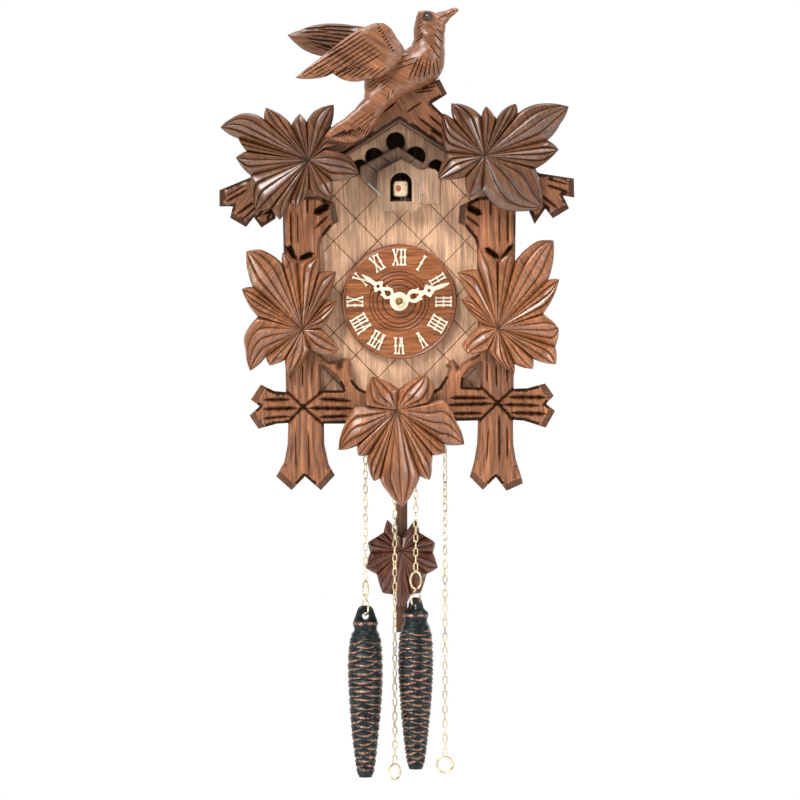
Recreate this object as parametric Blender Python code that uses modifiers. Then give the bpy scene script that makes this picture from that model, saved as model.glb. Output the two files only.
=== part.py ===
"""Carved cuckoo clock, one-day movement, built as separate pieces.

Frame: metres, +Z up. The front faces -Y. The origin is on the rear face of the
back board, level with the middle of the dial, so y = 0 is the wall.
Outlines are (x, z) points in millimetres, seen from the front.
"""
import math

import bmesh
import bpy
from mathutils import Matrix, Vector

MM = 0.001
GAP = 0.3                       # air between pieces that touch, mm

# Case, mm
CASE_HALF = 62.0                # outer half width of the box
BOARD = 4.0                     # thickness of the side and back boards
CASE_FLOOR = -74.0              # underside of the bottom board
ROOF_APEX = 123.5               # underside of the roof at the ridge
ROOF_SLOPE = 0.629              # fall per unit of width
ROOF_HALF = 92.0
ROOF_THICK = 5.9                # measured straight up
ROOF_FRONT = -106.0
FRONT_HALF = 66.0
FRONT_BACK = -86.3              # rear face of the front board
FRONT_FACE = -91.0
TRIM_BACK = FRONT_FACE - GAP    # rear face of what is glued on the front board
POST_FACE = -102.0
LEAF_FACE = -113.0              # side and bottom leaves, glued on the posts
BRANCH_FACE = -121.5
TOP_LEAF_FACE = -130.5
BIRD_BACK = -103.5
BIRD_FRONT = -132.0             # breast; the tail and near wing stand further out
TAIL_FACE = -135.5
WING_THICK = 7.7

# Movement, mm
PLATE_FRONT = -72.0
PLATE_BACK = -41.5
PLATE_THICK = 1.5
PLATE_HALF = 40.0
PLATE_LOW = -50.0
PLATE_TOP = 36.0
CHAIN_Y = -50.0                 # plane of the chains
CHAIN_WHEEL_Z = -28.0
CHAIN_PITCH_R = 10.2            # from the wheel's centre to the middle of the chain
CHAIN_R = 1.5                   # half width of a hanging chain
LEFT_WHEEL_X = -13.3
RIGHT_WHEEL_X = 21.6
SWING_X = 1.6                   # pendulum and anchor axis
SWING_Z = 27.0
SWING_Y = -27.0                 # plane of the pendulum
ESCAPE_Z = 15.0
PERCH_X = 1.3                   # middle of the doorway
PERCH_Z = 68.0                  # slide rod of the cuckoo

# Weights, mm and degrees about the upright
EYE_DROP = 7.2                  # from a cone's top to the middle of its eye
HOOK_BEND = 4.5
WEIGHTS = {
    "left": {"top": -210.2, "cone_turn": 8, "hook_turn": 26, "hook_rise": 5.5,
             "loop_top": -192.5, "loop_half": 5.4, "loop_turn": 28},
    "right": {"top": -204.6, "cone_turn": -50, "hook_turn": -40, "hook_rise": 4.5,
              "loop_top": -186.2, "loop_half": 6.0, "loop_turn": -70},
}

for thing in list(bpy.data.objects):
    bpy.data.objects.remove(thing, do_unlink=True)


def collection(name):
    group = bpy.data.collections.new(name)
    bpy.context.scene.collection.children.link(group)
    return group


PARTS = collection("cuckoo_clock")
CUTTERS = collection("cutters")


def finish(name, color, roughness, metallic=0.0):
    material = bpy.data.materials.new(name)
    material.use_nodes = True
    shader = material.node_tree.nodes["Principled BSDF"]
    shader.inputs["Base Color"].default_value = (*color, 1.0)
    shader.inputs["Roughness"].default_value = roughness
    shader.inputs["Metallic"].default_value = metallic
    return material


WALNUT = finish("carved_walnut", (0.27, 0.105, 0.035), 0.38)
PANEL = finish("panel_wood", (0.50, 0.27, 0.14), 0.5)
DIAL_WOOD = finish("dial_wood", (0.36, 0.12, 0.04), 0.45)
CREAM = finish("cream_plastic", (0.93, 0.86, 0.68), 0.4)
BRASS = finish("chain_brass", (0.80, 0.62, 0.30), 0.3, 1.0)
STEEL = finish("steel_wire", (0.55, 0.55, 0.54), 0.3, 1.0)
IRON = finish("cone_iron", (0.05, 0.055, 0.055), 0.5, 0.6)
PINE = finish("pine_box", (0.66, 0.47, 0.27), 0.6)
BIRD_PAINT = finish("cuckoo_paint", (0.80, 0.70, 0.50), 0.5)


# ---------------------------------------------------------------- makers

def place(obj, material, group=PARTS):
    for owner in list(obj.users_collection):
        owner.objects.unlink(obj)
    group.objects.link(obj)
    obj.data.materials.clear()
    obj.data.materials.append(material)
    return obj


def box(name, low, high, material, group=PARTS):
    """A box between two corners in mm."""
    low, high = Vector(low) * MM, Vector(high) * MM
    bpy.ops.mesh.primitive_cube_add(size=1.0, location=(low + high) / 2)
    obj = bpy.context.object
    obj.name = name
    obj.scale = high - low
    return place(obj, material, group)


def ring_points(x, z, radius, count=20):
    steps = [2 * math.pi * i / count for i in range(count)]
    return [(x + radius * math.cos(a), z + radius * math.sin(a)) for a in steps]


def arch_points(left, right, low, top, count=8):
    """A doorway: straight sides and a half-round head."""
    radius = (right - left) / 2
    middle = (left + right) / 2
    head = [(middle + radius * math.cos(math.pi * i / count),
             top - radius + radius * math.sin(math.pi * i / count))
            for i in range(count + 1)]
    return [(left, low), (right, low)] + head


def outline(name, loops, front, back, material, facing="Y", group=PARTS):
    """A flat board cut to closed loops, standing (facing Y) or lying (facing Z).

    front and back are the board's two limits along its facing axis, in mm.
    """
    curve = bpy.data.curves.new(name, "CURVE")
    curve.dimensions = "2D"
    curve.fill_mode = "BOTH"
    curve.extrude = abs(back - front) / 2 * MM
    for loop in loops:
        spline = curve.splines.new("POLY")
        spline.points.add(len(loop) - 1)
        for point, (u, v) in zip(spline.points, loop):
            point.co = (u * MM, v * MM, 0, 1)
        spline.use_cyclic_u = True
    obj = bpy.data.objects.new(name, curve)
    group.objects.link(obj)
    middle = (front + back) / 2 * MM
    if facing == "Y":
        obj.rotation_euler = (math.pi / 2, 0, 0)
        obj.location = (0, middle, 0)
    else:
        obj.location = (0, 0, middle)
    return place(obj, material, group)


def wire(name, points, radius, material, sides=2):
    """A round wire through points in mm."""
    curve = bpy.data.curves.new(name, "CURVE")
    curve.dimensions = "3D"
    curve.bevel_depth = radius * MM
    curve.bevel_resolution = sides
    curve.use_fill_caps = True
    spline = curve.splines.new("POLY")
    spline.points.add(len(points) - 1)
    for point, place_mm in zip(spline.points, points):
        point.co = (*(Vector(place_mm) * MM), 1)
    obj = bpy.data.objects.new(name, curve)
    PARTS.objects.link(obj)
    return place(obj, material)


def turned(name, profile, spot, axis, material, steps=24, group=PARTS):
    """A turned piece. The profile is (radius, height) from top to bottom in mm.

    spot is the zero height on the axis, and the heights run along Z, or along
    -Y for axis "Y", so that a bigger height is nearer the front.
    """
    mesh = bpy.data.meshes.new(name)
    points = [(radius * MM, 0, height * MM) for radius, height in profile]
    closed = profile[0][0] > 0
    edges = [(i, i + 1) for i in range(len(points) - 1)]
    if closed:
        edges.append((len(points) - 1, 0))
    mesh.from_pydata(points, edges, [])
    obj = bpy.data.objects.new(name, mesh)
    group.objects.link(obj)
    screw = obj.modifiers.new("turn", "SCREW")
    screw.axis = "Z"
    screw.steps = steps
    screw.render_steps = steps
    screw.use_merge_vertices = True
    screw.merge_threshold = 0.00001
    screw.use_normal_calculate = False
    if axis == "Y":
        obj.rotation_euler = (math.pi / 2, 0, 0)
    obj.location = Vector(spot) * MM
    return place(obj, material, group)


def solid(obj):
    """Turn a curve into a welded mesh, so that it can be cut or joined."""
    graph = bpy.context.evaluated_depsgraph_get()
    mesh = bpy.data.meshes.new_from_object(obj.evaluated_get(graph))
    shape = bmesh.new()
    shape.from_mesh(mesh)
    bmesh.ops.remove_doubles(shape, verts=shape.verts, dist=0.00001)
    bmesh.ops.recalc_face_normals(shape, faces=shape.faces)
    shape.to_mesh(mesh)
    shape.free()
    name = obj.name
    matrix = obj.matrix_world.copy()
    group = obj.users_collection[0]
    bpy.data.objects.remove(obj, do_unlink=True)
    new = bpy.data.objects.new(name, mesh)
    new.matrix_world = matrix
    group.objects.link(new)
    return new


def combine(target, tool, operation):
    """Boolean union or difference with a tool that goes to the cutters."""
    for owner in list(tool.users_collection):
        owner.objects.unlink(tool)
    CUTTERS.objects.link(tool)
    tool.name = target.name + "_" + operation.lower()
    tool.hide_render = True
    tool.display_type = "WIRE"
    step = target.modifiers.new(operation.lower(), "BOOLEAN")
    step.operation = operation
    step.solver = "EXACT"
    step.object = tool
    return target


def rod(name, start, end, radius, material, sides=16):
    """A straight round rod between two points in mm."""
    start, end = Vector(start), Vector(end)
    bpy.ops.mesh.primitive_cylinder_add(
        vertices=sides, radius=radius * MM, depth=(end - start).length * MM,
        location=(start + end) / 2 * MM)
    obj = bpy.context.object
    obj.name = name
    obj.rotation_mode = "QUATERNION"
    obj.rotation_quaternion = (end - start).to_track_quat("Z", "Y")
    return place(obj, material)


def axis_empty(name, spot):
    """An empty on a joint's axis, to carry what turns or slides there."""
    empty = bpy.data.objects.new(name, None)
    empty.location = Vector(spot) * MM
    empty.empty_display_size = 0.01
    PARTS.objects.link(empty)
    return empty


def carry(empty, pieces):
    bpy.context.view_layer.update()
    for piece in pieces:
        piece.parent = empty
        piece.matrix_parent_inverse = empty.matrix_world.inverted()


def roof_z(x):
    return ROOF_APEX - ROOF_SLOPE * abs(x)


# ---------------------------------------------------------------- case

HOLE_HANG = ring_points(0, 60, 5)
PORCH_ARCH = arch_points(-6.1, 8.7, 68.7, 88.6)
DOORWAY = arch_points(-7.2, 9.8, 65.5, 90.2)
SOUND_HOLES = [(-2.5, 110.2, 6.6), (-17.3, 99.8, 6.2), (11.3, 100.0, 6.9),
               (25.4, 92.5, 5.5), (-27.4, 92.5, 5.5)]


def gable_board(half, clearance):
    """Outline of a board that fits under the roof."""
    eave = roof_z(half) - clearance
    return [(-half, CASE_FLOOR), (half, CASE_FLOOR), (half, eave),
            (0, roof_z(0) - clearance), (-half, eave)]


def make_case():
    outline("back_board", [gable_board(CASE_HALF, 0.5), HOLE_HANG], -BOARD, 0, PINE)
    inner = CASE_HALF - BOARD
    low = CASE_FLOOR + 5 + GAP
    for name, side in (("left_side", -1), ("right_side", 1)):
        shape = [(side * inner, low), (side * (CASE_HALF - 0.1), low),
                 (side * (CASE_HALF - 0.1), roof_z(CASE_HALF) - 0.5),
                 (side * inner, roof_z(inner) - 0.5)]
        outline(name, [shape], FRONT_BACK + GAP, -BOARD - GAP, WALNUT)
    floor = [(-CASE_HALF, FRONT_BACK + GAP), (CASE_HALF, FRONT_BACK + GAP),
             (CASE_HALF, -BOARD - GAP), (-CASE_HALF, -BOARD - GAP)]
    chain_slot = [(-30, -57), (38, -57), (38, -43), (-30, -43)]
    swing_slot = [(-20, -34), (22, -34), (22, -20), (-20, -20)]
    outline("bottom_board", [floor, chain_slot, swing_slot],
            CASE_FLOOR, CASE_FLOOR + 5, WALNUT, facing="Z")
    holes = [ring_points(x, z, r, 16) for x, z, r in SOUND_HOLES]
    outline("front_board",
            [gable_board(FRONT_HALF, 0.4), DOORWAY, ring_points(0, 0, 6)] + holes,
            FRONT_FACE, FRONT_BACK, PANEL)
    for name, side in (("left_roof", -1), ("right_roof", 1)):
        ridge, eave = 0.15 * side, ROOF_HALF * side
        shape = [(ridge, roof_z(ridge)), (eave, roof_z(eave)),
                 (eave, roof_z(eave) + ROOF_THICK), (ridge, roof_z(ridge) + ROOF_THICK)]
        outline(name, [shape], ROOF_FRONT, 0, WALNUT)


# ---------------------------------------------------------------- carving

RIGHT_BRANCH = [
    (-20.4, 111.2), (0, 124.6), (86, 68.6), (92.8, 52.9), (100.2, 63.6), (105.3, 56.9),
    (116.2, 63.5), (111.9, 72.5), (119.8, 71.1), (119.5, 83.9), (96, 87.5),
    (33, 124.8), (22.1, 135.4), (32.7, 142), (27.6, 152), (10, 146), (0, 143),
    (-14, 137), (-20.4, 133)]
LEFT_BRANCH = [
    (-20.7, 111.0), (-20.7, 132.8), (-33, 125), (-96, 87),
    (-123.1, 76), (-123.1, 65), (-113.9, 65), (-115.7, 57), (-105, 50.9),
    (-99.8, 57.6), (-94.5, 50.5), (-84.8, 56.7), (-86, 68.6)]
TOP_LEFT_LEAF = [
    (-122.2, 118.6), (-115, 124.6), (-106.8, 128.2), (-99, 127.6), (-92.4, 124.2),
    (-91.2, 132.2), (-77.3, 124.5), (-73.7, 120.2), (-68.1, 127.9), (-63.3, 122.4),
    (-57.7, 130.1), (-44.8, 134.2), (-46.7, 119.6), (-42.3, 107.3), (-51, 104),
    (-33.5, 98.5), (-27.4, 86.3), (-45.8, 81.9), (-46.1, 71.2), (-57.1, 71.8),
    (-61.4, 76.7), (-70.9, 63.2), (-75.1, 67), (-81.7, 55.5), (-87.5, 62.9),
    (-98.2, 61.3), (-101.6, 85.9), (-111.7, 98.1), (-104.4, 102.4), (-110, 111)]
TOP_RIGHT_LEAF = [
    (115.8, 132.9), (93.5, 134.5), (81, 128.3), (79.7, 134.9), (71.3, 131),
    (66.5, 124.4), (59.3, 133.2), (56, 126.3), (47.4, 132.9), (35.6, 135.2),
    (36.9, 124.1), (30, 128.3), (29.4, 111), (32.9, 101.7), (26.4, 83.5),
    (45.2, 84.9), (47.4, 70.4), (56.7, 77), (67.2, 63.8), (82.3, 61.2),
    (98.1, 64.5), (93.2, 90.5), (109, 103.6), (101.3, 109.9), (110, 121)]
LEFT_LEAF = [
    (-105, 34.2), (-94.4, 35.4), (-80.3, 26.1), (-80.2, 33.3), (-70, 26.3),
    (-56.2, 30.2), (-55.2, 19.6), (-43.5, 20.4), (-49.7, 1), (-42.8, 0.2),
    (-53.8, -18.9), (-41.2, -32.6), (-47.6, -37.5), (-60.7, -33.3), (-75.9, -51.2),
    (-78.6, -40.2), (-89, -44.1), (-91.6, -38.2), (-102.4, -47.6), (-105.4, -33.3),
    (-106.3, -23.9), (-97.1, -10.7), (-108.1, 8.5), (-100.6, 10)]
RIGHT_LEAF = [
    (105.9, 41.7), (94.7, 41.3), (79.2, 27.2), (79, 34.2), (67.6, 27),
    (54.5, 36.1), (54.8, 21.7), (39.9, 19.9), (48.6, 3.1), (41.9, 1.8),
    (56.9, -15.5), (42.7, -30.3), (47.2, -36.1), (61, -33.3), (78.9, -49.8),
    (78.9, -43), (91.6, -46.4), (91.9, -39.5), (107.5, -43.2), (107, -31.3),
    (109.4, -18.4), (98.8, -8.6), (109.8, 15.2), (102.2, 14.8)]
BOTTOM_LEAF = [
    (-18.8, -51.4), (-0.3, -60.2), (18.4, -50.1), (24, -60.2), (20.1, -69.8),
    (30.9, -67), (39.2, -82.7), (44.7, -98.1), (30.7, -98), (31.9, -104),
    (22.7, -105.7), (22.3, -111.6), (21, -122.4), (14.2, -119.8), (10.1, -128.9),
    (2.3, -140.9), (-7.8, -131), (-13.5, -121.4), (-17.5, -123.4), (-21.4, -112.9),
    (-21.7, -105.7), (-28, -105.9), (-28.9, -99.1), (-41.8, -102.1), (-37.3, -84.3),
    (-30.5, -72.5), (-23, -72.1), (-22.9, -61.5)]
LEFT_POST = [
    (-80.2, 72), (-55.8, 72), (-44.3, 67.7), (-42, 54.7), (-45.2, 53.1),
    (-53.1, 43.7), (-54.5, 38), (-54, -36), (-48.3, -41.3), (-43.5, -40.6),
    (-40.8, -45.5), (-40, -41.5), (-38.5, -38.6), (-35, -38.8), (-33, -42),
    (-33.3, -49.6), (-31.3, -55.1), (-27.5, -59.5), (-22, -62), (-12, -62),
    (-12, -84), (-51.8, -84), (-51.5, -98.5), (-48.5, -112), (-44.3, -119.4),
    (-53.8, -129.7), (-64.8, -120.2), (-74, -129.7), (-84.6, -120.2), (-79, -110),
    (-76.8, -98.5), (-76.3, -83.5), (-84, -84), (-96.8, -87.5), (-102.9, -78.4),
    (-96, -72), (-102, -67.4), (-95.2, -57.1), (-86, -61.5), (-77.9, -62.2)]
LEFT_WINDOW = [(-53.8, -44.5), (-49.9, -46.5), (-43.5, -52), (-40.4, -56.7),
               (-38.8, -61), (-53.8, -61)]
RIGHT_POST = [
    (80.2, 72), (55, 72), (41.5, 65.7), (40.7, 54.2), (44.5, 52.5),
    (52, 43), (53.5, 38), (54.5, -36), (43.5, -41.7), (39.9, -46.8),
    (39, -41.5), (36.4, -39.4), (31.7, -43.7), (34.4, -45.6), (31.3, -52.7),
    (27.3, -59), (22, -62), (12, -62), (12, -82.7), (54.1, -81.8),
    (53.5, -98), (51.5, -110), (48.5, -120.4), (57.4, -129.5), (66.4, -120.6),
    (73.8, -130.1), (84.9, -125), (83.8, -120), (80.2, -108.8), (78.4, -98),
    (78.2, -81.4), (86, -82), (100.7, -86.7), (107.1, -75.2), (100.9, -70.3),
    (106.2, -64.8), (100.3, -56.3), (88, -59.6), (78.6, -59.9)]
RIGHT_WINDOW = [(55.8, -42.1), (48.6, -46.4), (44.3, -52.7), (43.9, -58.6),
                (55.8, -59)]


def make_carving():
    outline("left_post", [LEFT_POST, LEFT_WINDOW], POST_FACE, TRIM_BACK, WALNUT)
    outline("right_post", [RIGHT_POST, RIGHT_WINDOW], POST_FACE, TRIM_BACK, WALNUT)
    for name, shape in (("left_leaf", LEFT_LEAF), ("right_leaf", RIGHT_LEAF),
                        ("bottom_leaf", BOTTOM_LEAF)):
        outline(name, [shape], LEAF_FACE, POST_FACE - GAP, WALNUT)
    for name, shape in (("left_branch", LEFT_BRANCH), ("right_branch", RIGHT_BRANCH)):
        outline(name, [shape], BRANCH_FACE, ROOF_FRONT - GAP, WALNUT)
    for name, shape in (("top_left_leaf", TOP_LEFT_LEAF),
                        ("top_right_leaf", TOP_RIGHT_LEAF)):
        outline(name, [shape], TOP_LEAF_FACE, BRANCH_FACE - GAP, WALNUT)


BIRD_BODY = [
    (-22, 148), (9, 147.4), (26.5, 153.4), (30.3, 159.4), (31.1, 175),
    (31.7, 189.8), (40.9, 199.4), (37.3, 201), (24.8, 197.2), (19.7, 199.2),
    (12.9, 198.3), (9.8, 185.2), (10.1, 179.8), (5, 172.3), (-8, 183), (-26, 160)]
BIRD_TAIL = [
    (-23.6, 142.9), (-24, 138.3), (-37.3, 124.4), (-45.6, 118.9), (-51.1, 112),
    (-41, 108.3), (-30, 108.3), (-19.9, 114.3), (-13.4, 126.2), (-7.8, 133.7),
    (3, 141), (14.2, 145.4), (26, 153.8), (-22, 149)]
NEAR_WING = [
    (-10.7, 189.3), (-20.8, 188), (-71, 152), (-54.8, 152), (-45.6, 155.2),
    (-33.6, 149.8), (-22, 151), (-5, 158), (3.2, 172.8)]
FAR_WING = [
    (-76.9, 183.2), (-66.8, 173.7), (-53.4, 168.6), (-25, 162), (-6, 168),
    (-8, 182), (-21.2, 187.8), (-42.8, 190.9), (-58.5, 189.8)]


def make_bird():
    body = solid(outline("top_bird", [BIRD_BODY], BIRD_FRONT, BIRD_BACK, WALNUT))
    tail = solid(outline("tail", [BIRD_TAIL], TAIL_FACE, TOP_LEAF_FACE - GAP, WALNUT))
    combine(body, tail, "UNION")
    near = BIRD_FRONT - GAP
    outline("bird_near_wing", [NEAR_WING], near - WING_THICK, near, WALNUT)
    far = BIRD_BACK + GAP
    outline("bird_far_wing", [FAR_WING], far, far + WING_THICK, WALNUT)


# ---------------------------------------------------------------- porch, door, cuckoo

PORCH_ROOF = ([(-1, 106.4), (-27.1, 92.5), (-26.7, 86.7), (-15.7, 73.2), (-7.2, 72.7)]
              + DOORWAY[:1:-1]
              + [(9.8, 72.3), (14.6, 72), (25, 84), (25.4, 89.2)])
PORCH_FRONT = [(1.2, 98.1), (-15, 89.4), (-15.6, 73.4), (-14.6, 66), (-10.8, 61.5),
               (3.2, 62.9), (10.7, 61.3), (16.2, 65.9), (16.2, 89.8)]
HINGE_X = 14.2
HINGE_Y = -104.0
DOOR_WIDTH = 20.6
DOOR_THICK = 2.2
DOOR_LOW = 66.5
DOOR_TOP = 90.6
DOOR_OPEN = math.radians(132)


def make_porch():
    outline("house_roof", [PORCH_ROOF], -97, TRIM_BACK, PANEL)
    outline("house_front", [PORCH_FRONT, PORCH_ARCH], -102.5, -97 - GAP, PANEL)
    wire("door_hinge_wire",
         [(HINGE_X, -102.8, 86.3), (HINGE_X, HINGE_Y, 86.3),
          (HINGE_X, HINGE_Y, 68.7), (HINGE_X, -102.8, 68.7)], 0.45, STEEL)


def make_door():
    """The door is drawn shut, then turned about its hinge wire to stand open."""
    edge = HINGE_X - 0.9
    far = HINGE_X - DOOR_WIDTH
    head = [(far + 7.7 - 7.7 * math.cos(math.pi / 2 * i / 6),
             DOOR_TOP - 8.9 + 8.9 * math.sin(math.pi / 2 * i / 6)) for i in range(7)]
    shape = [(edge, DOOR_LOW), (edge, DOOR_TOP)] + head[::-1] + [(far, DOOR_LOW)]
    door = outline("door", [shape], HINGE_Y - DOOR_THICK / 2,
                   HINGE_Y + DOOR_THICK / 2, PANEL)
    hinge = axis_empty("door_axis", (HINGE_X, HINGE_Y, 78))
    carry(hinge, [door])
    hinge.rotation_euler = (0, 0, DOOR_OPEN)
    latch = wire("door_latch",
                 [(-21.1, -97.4, 81.3), (-21.1, -102.9, 81.3), (-20.6, -103.6, 80.8),
                  (-12.2, -103.6, 72.6)], 0.5, STEEL)
    carry(axis_empty("latch_axis", (-21.1, -97.4, 81.3)), [latch])


def make_cuckoo():
    head = (PERCH_X, -94.0, 77.6)
    bpy.ops.mesh.primitive_uv_sphere_add(segments=16, ring_count=10, radius=1.0)
    bird = bpy.context.object
    bird.name = "cuckoo"
    bird.location = Vector(head) * MM
    bird.scale = Vector((4.6, 5.6, 5.2)) * MM
    place(bird, BIRD_PAINT)
    arm = wire("cuckoo_arm",
               [(PERCH_X, -94, 72.1), (PERCH_X, -94, PERCH_Z + 1),
                (PERCH_X, -93, PERCH_Z), (PERCH_X, -60, PERCH_Z)], 0.8, STEEL)
    carry(axis_empty("cuckoo_axis", (PERCH_X, -80, PERCH_Z)), [bird, arm])


# ---------------------------------------------------------------- dial and hands

MINUTE_ANGLE = math.radians(70.1)
HOUR_ANGLE = math.radians(305.8)


def hand_shape(angle, reach, swell):
    """A hand's outline: a hub, a leaf near it and a small trefoil further out."""
    half = [(0.0, 6.4), (4.6, 4.5), (6.4, 2.2), (9.5, 3.4), (swell - 3.2, 1.2),
            (swell, 3.6), (swell + 3.0, 1.1), (reach - 5, 1.4), (reach, 0.15)]
    right = [(w, r) for r, w in half[1:]]
    left = [(-w, r) for r, w in half[1:]][::-1]
    hub = [(6.4 * math.sin(a), 6.4 * math.cos(a)) for a in
           [math.radians(-60 - 30 * i) for i in range(9)]]
    shape = right + left + hub
    turn = [(u * math.cos(angle) + v * math.sin(angle),
             -u * math.sin(angle) + v * math.cos(angle)) for u, v in shape]
    return turn


def make_dial():
    turned("dial", [(38.4, 5.7), (39.6, 4.5), (39.6, 0), (4, 0), (4, 5.7)],
           (0, TRIM_BACK, 0), "Y", DIAL_WOOD, steps=48)
    hour = outline("hour_hand", [hand_shape(HOUR_ANGLE, 31.3, 17.9),
                                 ring_points(0, 0, 3.6, 16)], -100.3, -99.2, CREAM)
    minute = outline("minute_hand", [hand_shape(MINUTE_ANGLE, 36.6, 21.8),
                                     ring_points(0, 0, 1.9, 12)], -102.8, -101.7, CREAM)
    nut = turned("hand_nut", [(2.4, 2.9), (3.1, 2.2), (3.1, 0), (1.8, 0), (1.8, 2.9)],
                 (0, -103.1, 0), "Y", BRASS, steps=16)
    pipe = turned("hour_wheel",
                  [(3.2, 26.6), (3.2, 2.0), (14, 2.0), (14, 0.6), (3.2, 0.6),
                   (3.2, 0), (2, 0), (2, 26.6)],
                  (0, -74, 0), "Y", BRASS, steps=32)
    arbor = turned("centre_arbor",
                   [(0, 106), (1.5, 106), (1.5, 62), (13, 62), (13, 60.5),
                    (1.0, 60.5), (1.0, 38.5), (0, 38.5)],
                   (0, 0, 0), "Y", BRASS, steps=24)
    carry(axis_empty("hour_axis", (0, -99, 0)), [hour, pipe])
    carry(axis_empty("minute_axis", (0, -101, 0)), [minute, nut, arbor])


# ---------------------------------------------------------------- movement

def make_plates():
    plate = [(-PLATE_HALF, PLATE_LOW), (PLATE_HALF, PLATE_LOW),
             (PLATE_HALF, PLATE_TOP), (-PLATE_HALF, PLATE_TOP)]
    guide = [(6.6, PLATE_TOP), (6.6, PERCH_Z + 2.5), (-4, PERCH_Z + 2.5), (-4, PLATE_TOP)]
    pivots = [ring_points(0, 0, 2.0, 12), ring_points(LEFT_WHEEL_X, CHAIN_WHEEL_Z, 1.4, 12),
              ring_points(RIGHT_WHEEL_X, CHAIN_WHEEL_Z, 1.4, 12),
              ring_points(SWING_X, SWING_Z, 1.3, 12), ring_points(SWING_X, ESCAPE_Z, 1.2, 12)]
    front = plate[:3] + guide + plate[3:]
    outline("movement_front_plate", [front, ring_points(PERCH_X, PERCH_Z, 1.2, 12)] + pivots,
            PLATE_FRONT, PLATE_FRONT + PLATE_THICK, BRASS)
    back = solid(outline("movement_back_plate", [plate] + pivots,
                         PLATE_BACK, PLATE_BACK + PLATE_THICK, BRASS))
    pillar_front = PLATE_FRONT + PLATE_THICK + GAP
    pillars = None
    for x in (-37, 37):
        for z in (PLATE_LOW + 4, PLATE_TOP - 4):
            pillar = rod("pillar", (x, pillar_front, z), (x, PLATE_BACK + 0.7, z), 2, BRASS, 12)
            if pillars:
                pillars.select_set(True)
                bpy.context.view_layer.objects.active = pillars
                pillar.select_set(True)
                bpy.ops.object.join()
            else:
                pillars = pillar
    combine(back, pillars, "UNION")
    cock = box("suspension_cock", (SWING_X - 2, PLATE_BACK + 0.7, SWING_Z + 3),
               (SWING_X + 2, SWING_Y + 3, SWING_Z + 6), BRASS)
    combine(back, cock, "UNION")


def make_chain_wheel(side, x):
    """A spool for the chain on its arbor, with a flange on each side."""
    flange, hub, arbor = 12.2, 8.0, 1.0
    profile = [(0, 72.6), (arbor, 72.6), (arbor, 53.4), (flange, 53.4), (flange, 52.2),
               (hub, 52.2), (hub, 47.8), (flange, 47.8), (flange, 46.6), (arbor, 46.6),
               (arbor, 39.4), (0, 39.4)]
    wheel = turned(side + "_chain_wheel", profile, (x, 0, CHAIN_WHEEL_Z), "Y", BRASS)
    carry(axis_empty(side + "_wheel_axis", (x, CHAIN_Y, CHAIN_WHEEL_Z)), [wheel])


ESCAPE_TEETH = 15
ESCAPE_R = 8.0


def make_escapement():
    teeth = []
    for i in range(ESCAPE_TEETH):
        lead = 2 * math.pi * i / ESCAPE_TEETH
        step = 2 * math.pi / ESCAPE_TEETH
        for radius, part in ((6.2, 0.0), (ESCAPE_R, 0.45), (ESCAPE_R, 0.55), (6.2, 0.62)):
            angle = lead + step * part
            teeth.append((SWING_X + radius * math.cos(angle),
                          ESCAPE_Z + radius * math.sin(angle)))
    wheel = solid(outline("escape_wheel", [teeth], -66, -64.8, BRASS))
    arbor = rod("escape_arbor", (SWING_X, -72.6, ESCAPE_Z), (SWING_X, -39.4, ESCAPE_Z),
                0.8, STEEL, 12)
    combine(wheel, arbor, "UNION")
    carry(axis_empty("escape_axis", (SWING_X, -65, ESCAPE_Z)), [wheel])
    arms = [(-3.2, 2.2), (0, 3.2), (3.2, 2.2), (9.2, -3.2), (8.0, -6.2), (6.9, -5.6),
            (7.0, -3.4), (2.4, -1.0), (-2.4, -1.0), (-7.0, -3.4), (-6.9, -5.6),
            (-8.0, -6.2), (-9.2, -3.2)]
    anchor = solid(outline("anchor", [[(SWING_X + u, SWING_Z + v) for u, v in arms]],
                           -66, -64.8, STEEL))
    spindle = rod("spindle", (SWING_X, -72.6, SWING_Z), (SWING_X, -34.4, SWING_Z), 0.9, STEEL, 12)
    combine(anchor, spindle, "UNION")
    crutch = wire("crutch",
                  [(SWING_X, -35.3, SWING_Z - 1.3), (SWING_X, -35.3, 4), (3.0, -34, 1.6),
                   (3.5, -32, 1), (3.5, -24, 1)], 0.6, STEEL)
    carry(axis_empty("anchor_axis", (SWING_X, -50, SWING_Z)), [anchor, crutch])


def make_pendulum():
    leader = rod("pendulum_leader", (SWING_X, SWING_Y, SWING_Z + 2.7),
                 (SWING_X, SWING_Y, -51.6), 0.8, STEEL, 12)
    lath = box("pendulum_rod", (SWING_X - 4, SWING_Y - 1, -229.6),
               (SWING_X + 4, SWING_Y + 1, -52), WALNUT)
    half = [(0, -164), (3.6, -159), (9.9, -150.8), (12.5, -160), (17.2, -163),
            (23.4, -166.9), (21.8, -174), (25.2, -184.5), (17.3, -189),
            (13.2, -202), (6.5, -203), (1.9, -211.8)]
    shape = [(SWING_X + u, v) for u, v in half] + \
            [(SWING_X - u, v) for u, v in half[:0:-1]]
    leaf = outline("pendulum_leaf", [shape], SWING_Y - 7.5, SWING_Y - 1 - GAP, WALNUT)
    carry(axis_empty("pendulum_axis", (SWING_X, SWING_Y, SWING_Z)), [leader, lath, leaf])


def make_bellows():
    for side, sign in (("left", -1), ("right", 1)):
        inner, outer = sorted((sign * 40.5, sign * 57.6))
        box(side + "_whistle", (inner, -82, -66), (outer, -38, 48), PINE)
        lid = box(side + "_bellows_lid", (inner, -82, 48 + GAP), (outer, -38, 51.5), PINE)
        carry(axis_empty(side + "_bellows_axis", (sign * 49, -38, 48 + GAP)), [lid])


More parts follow.
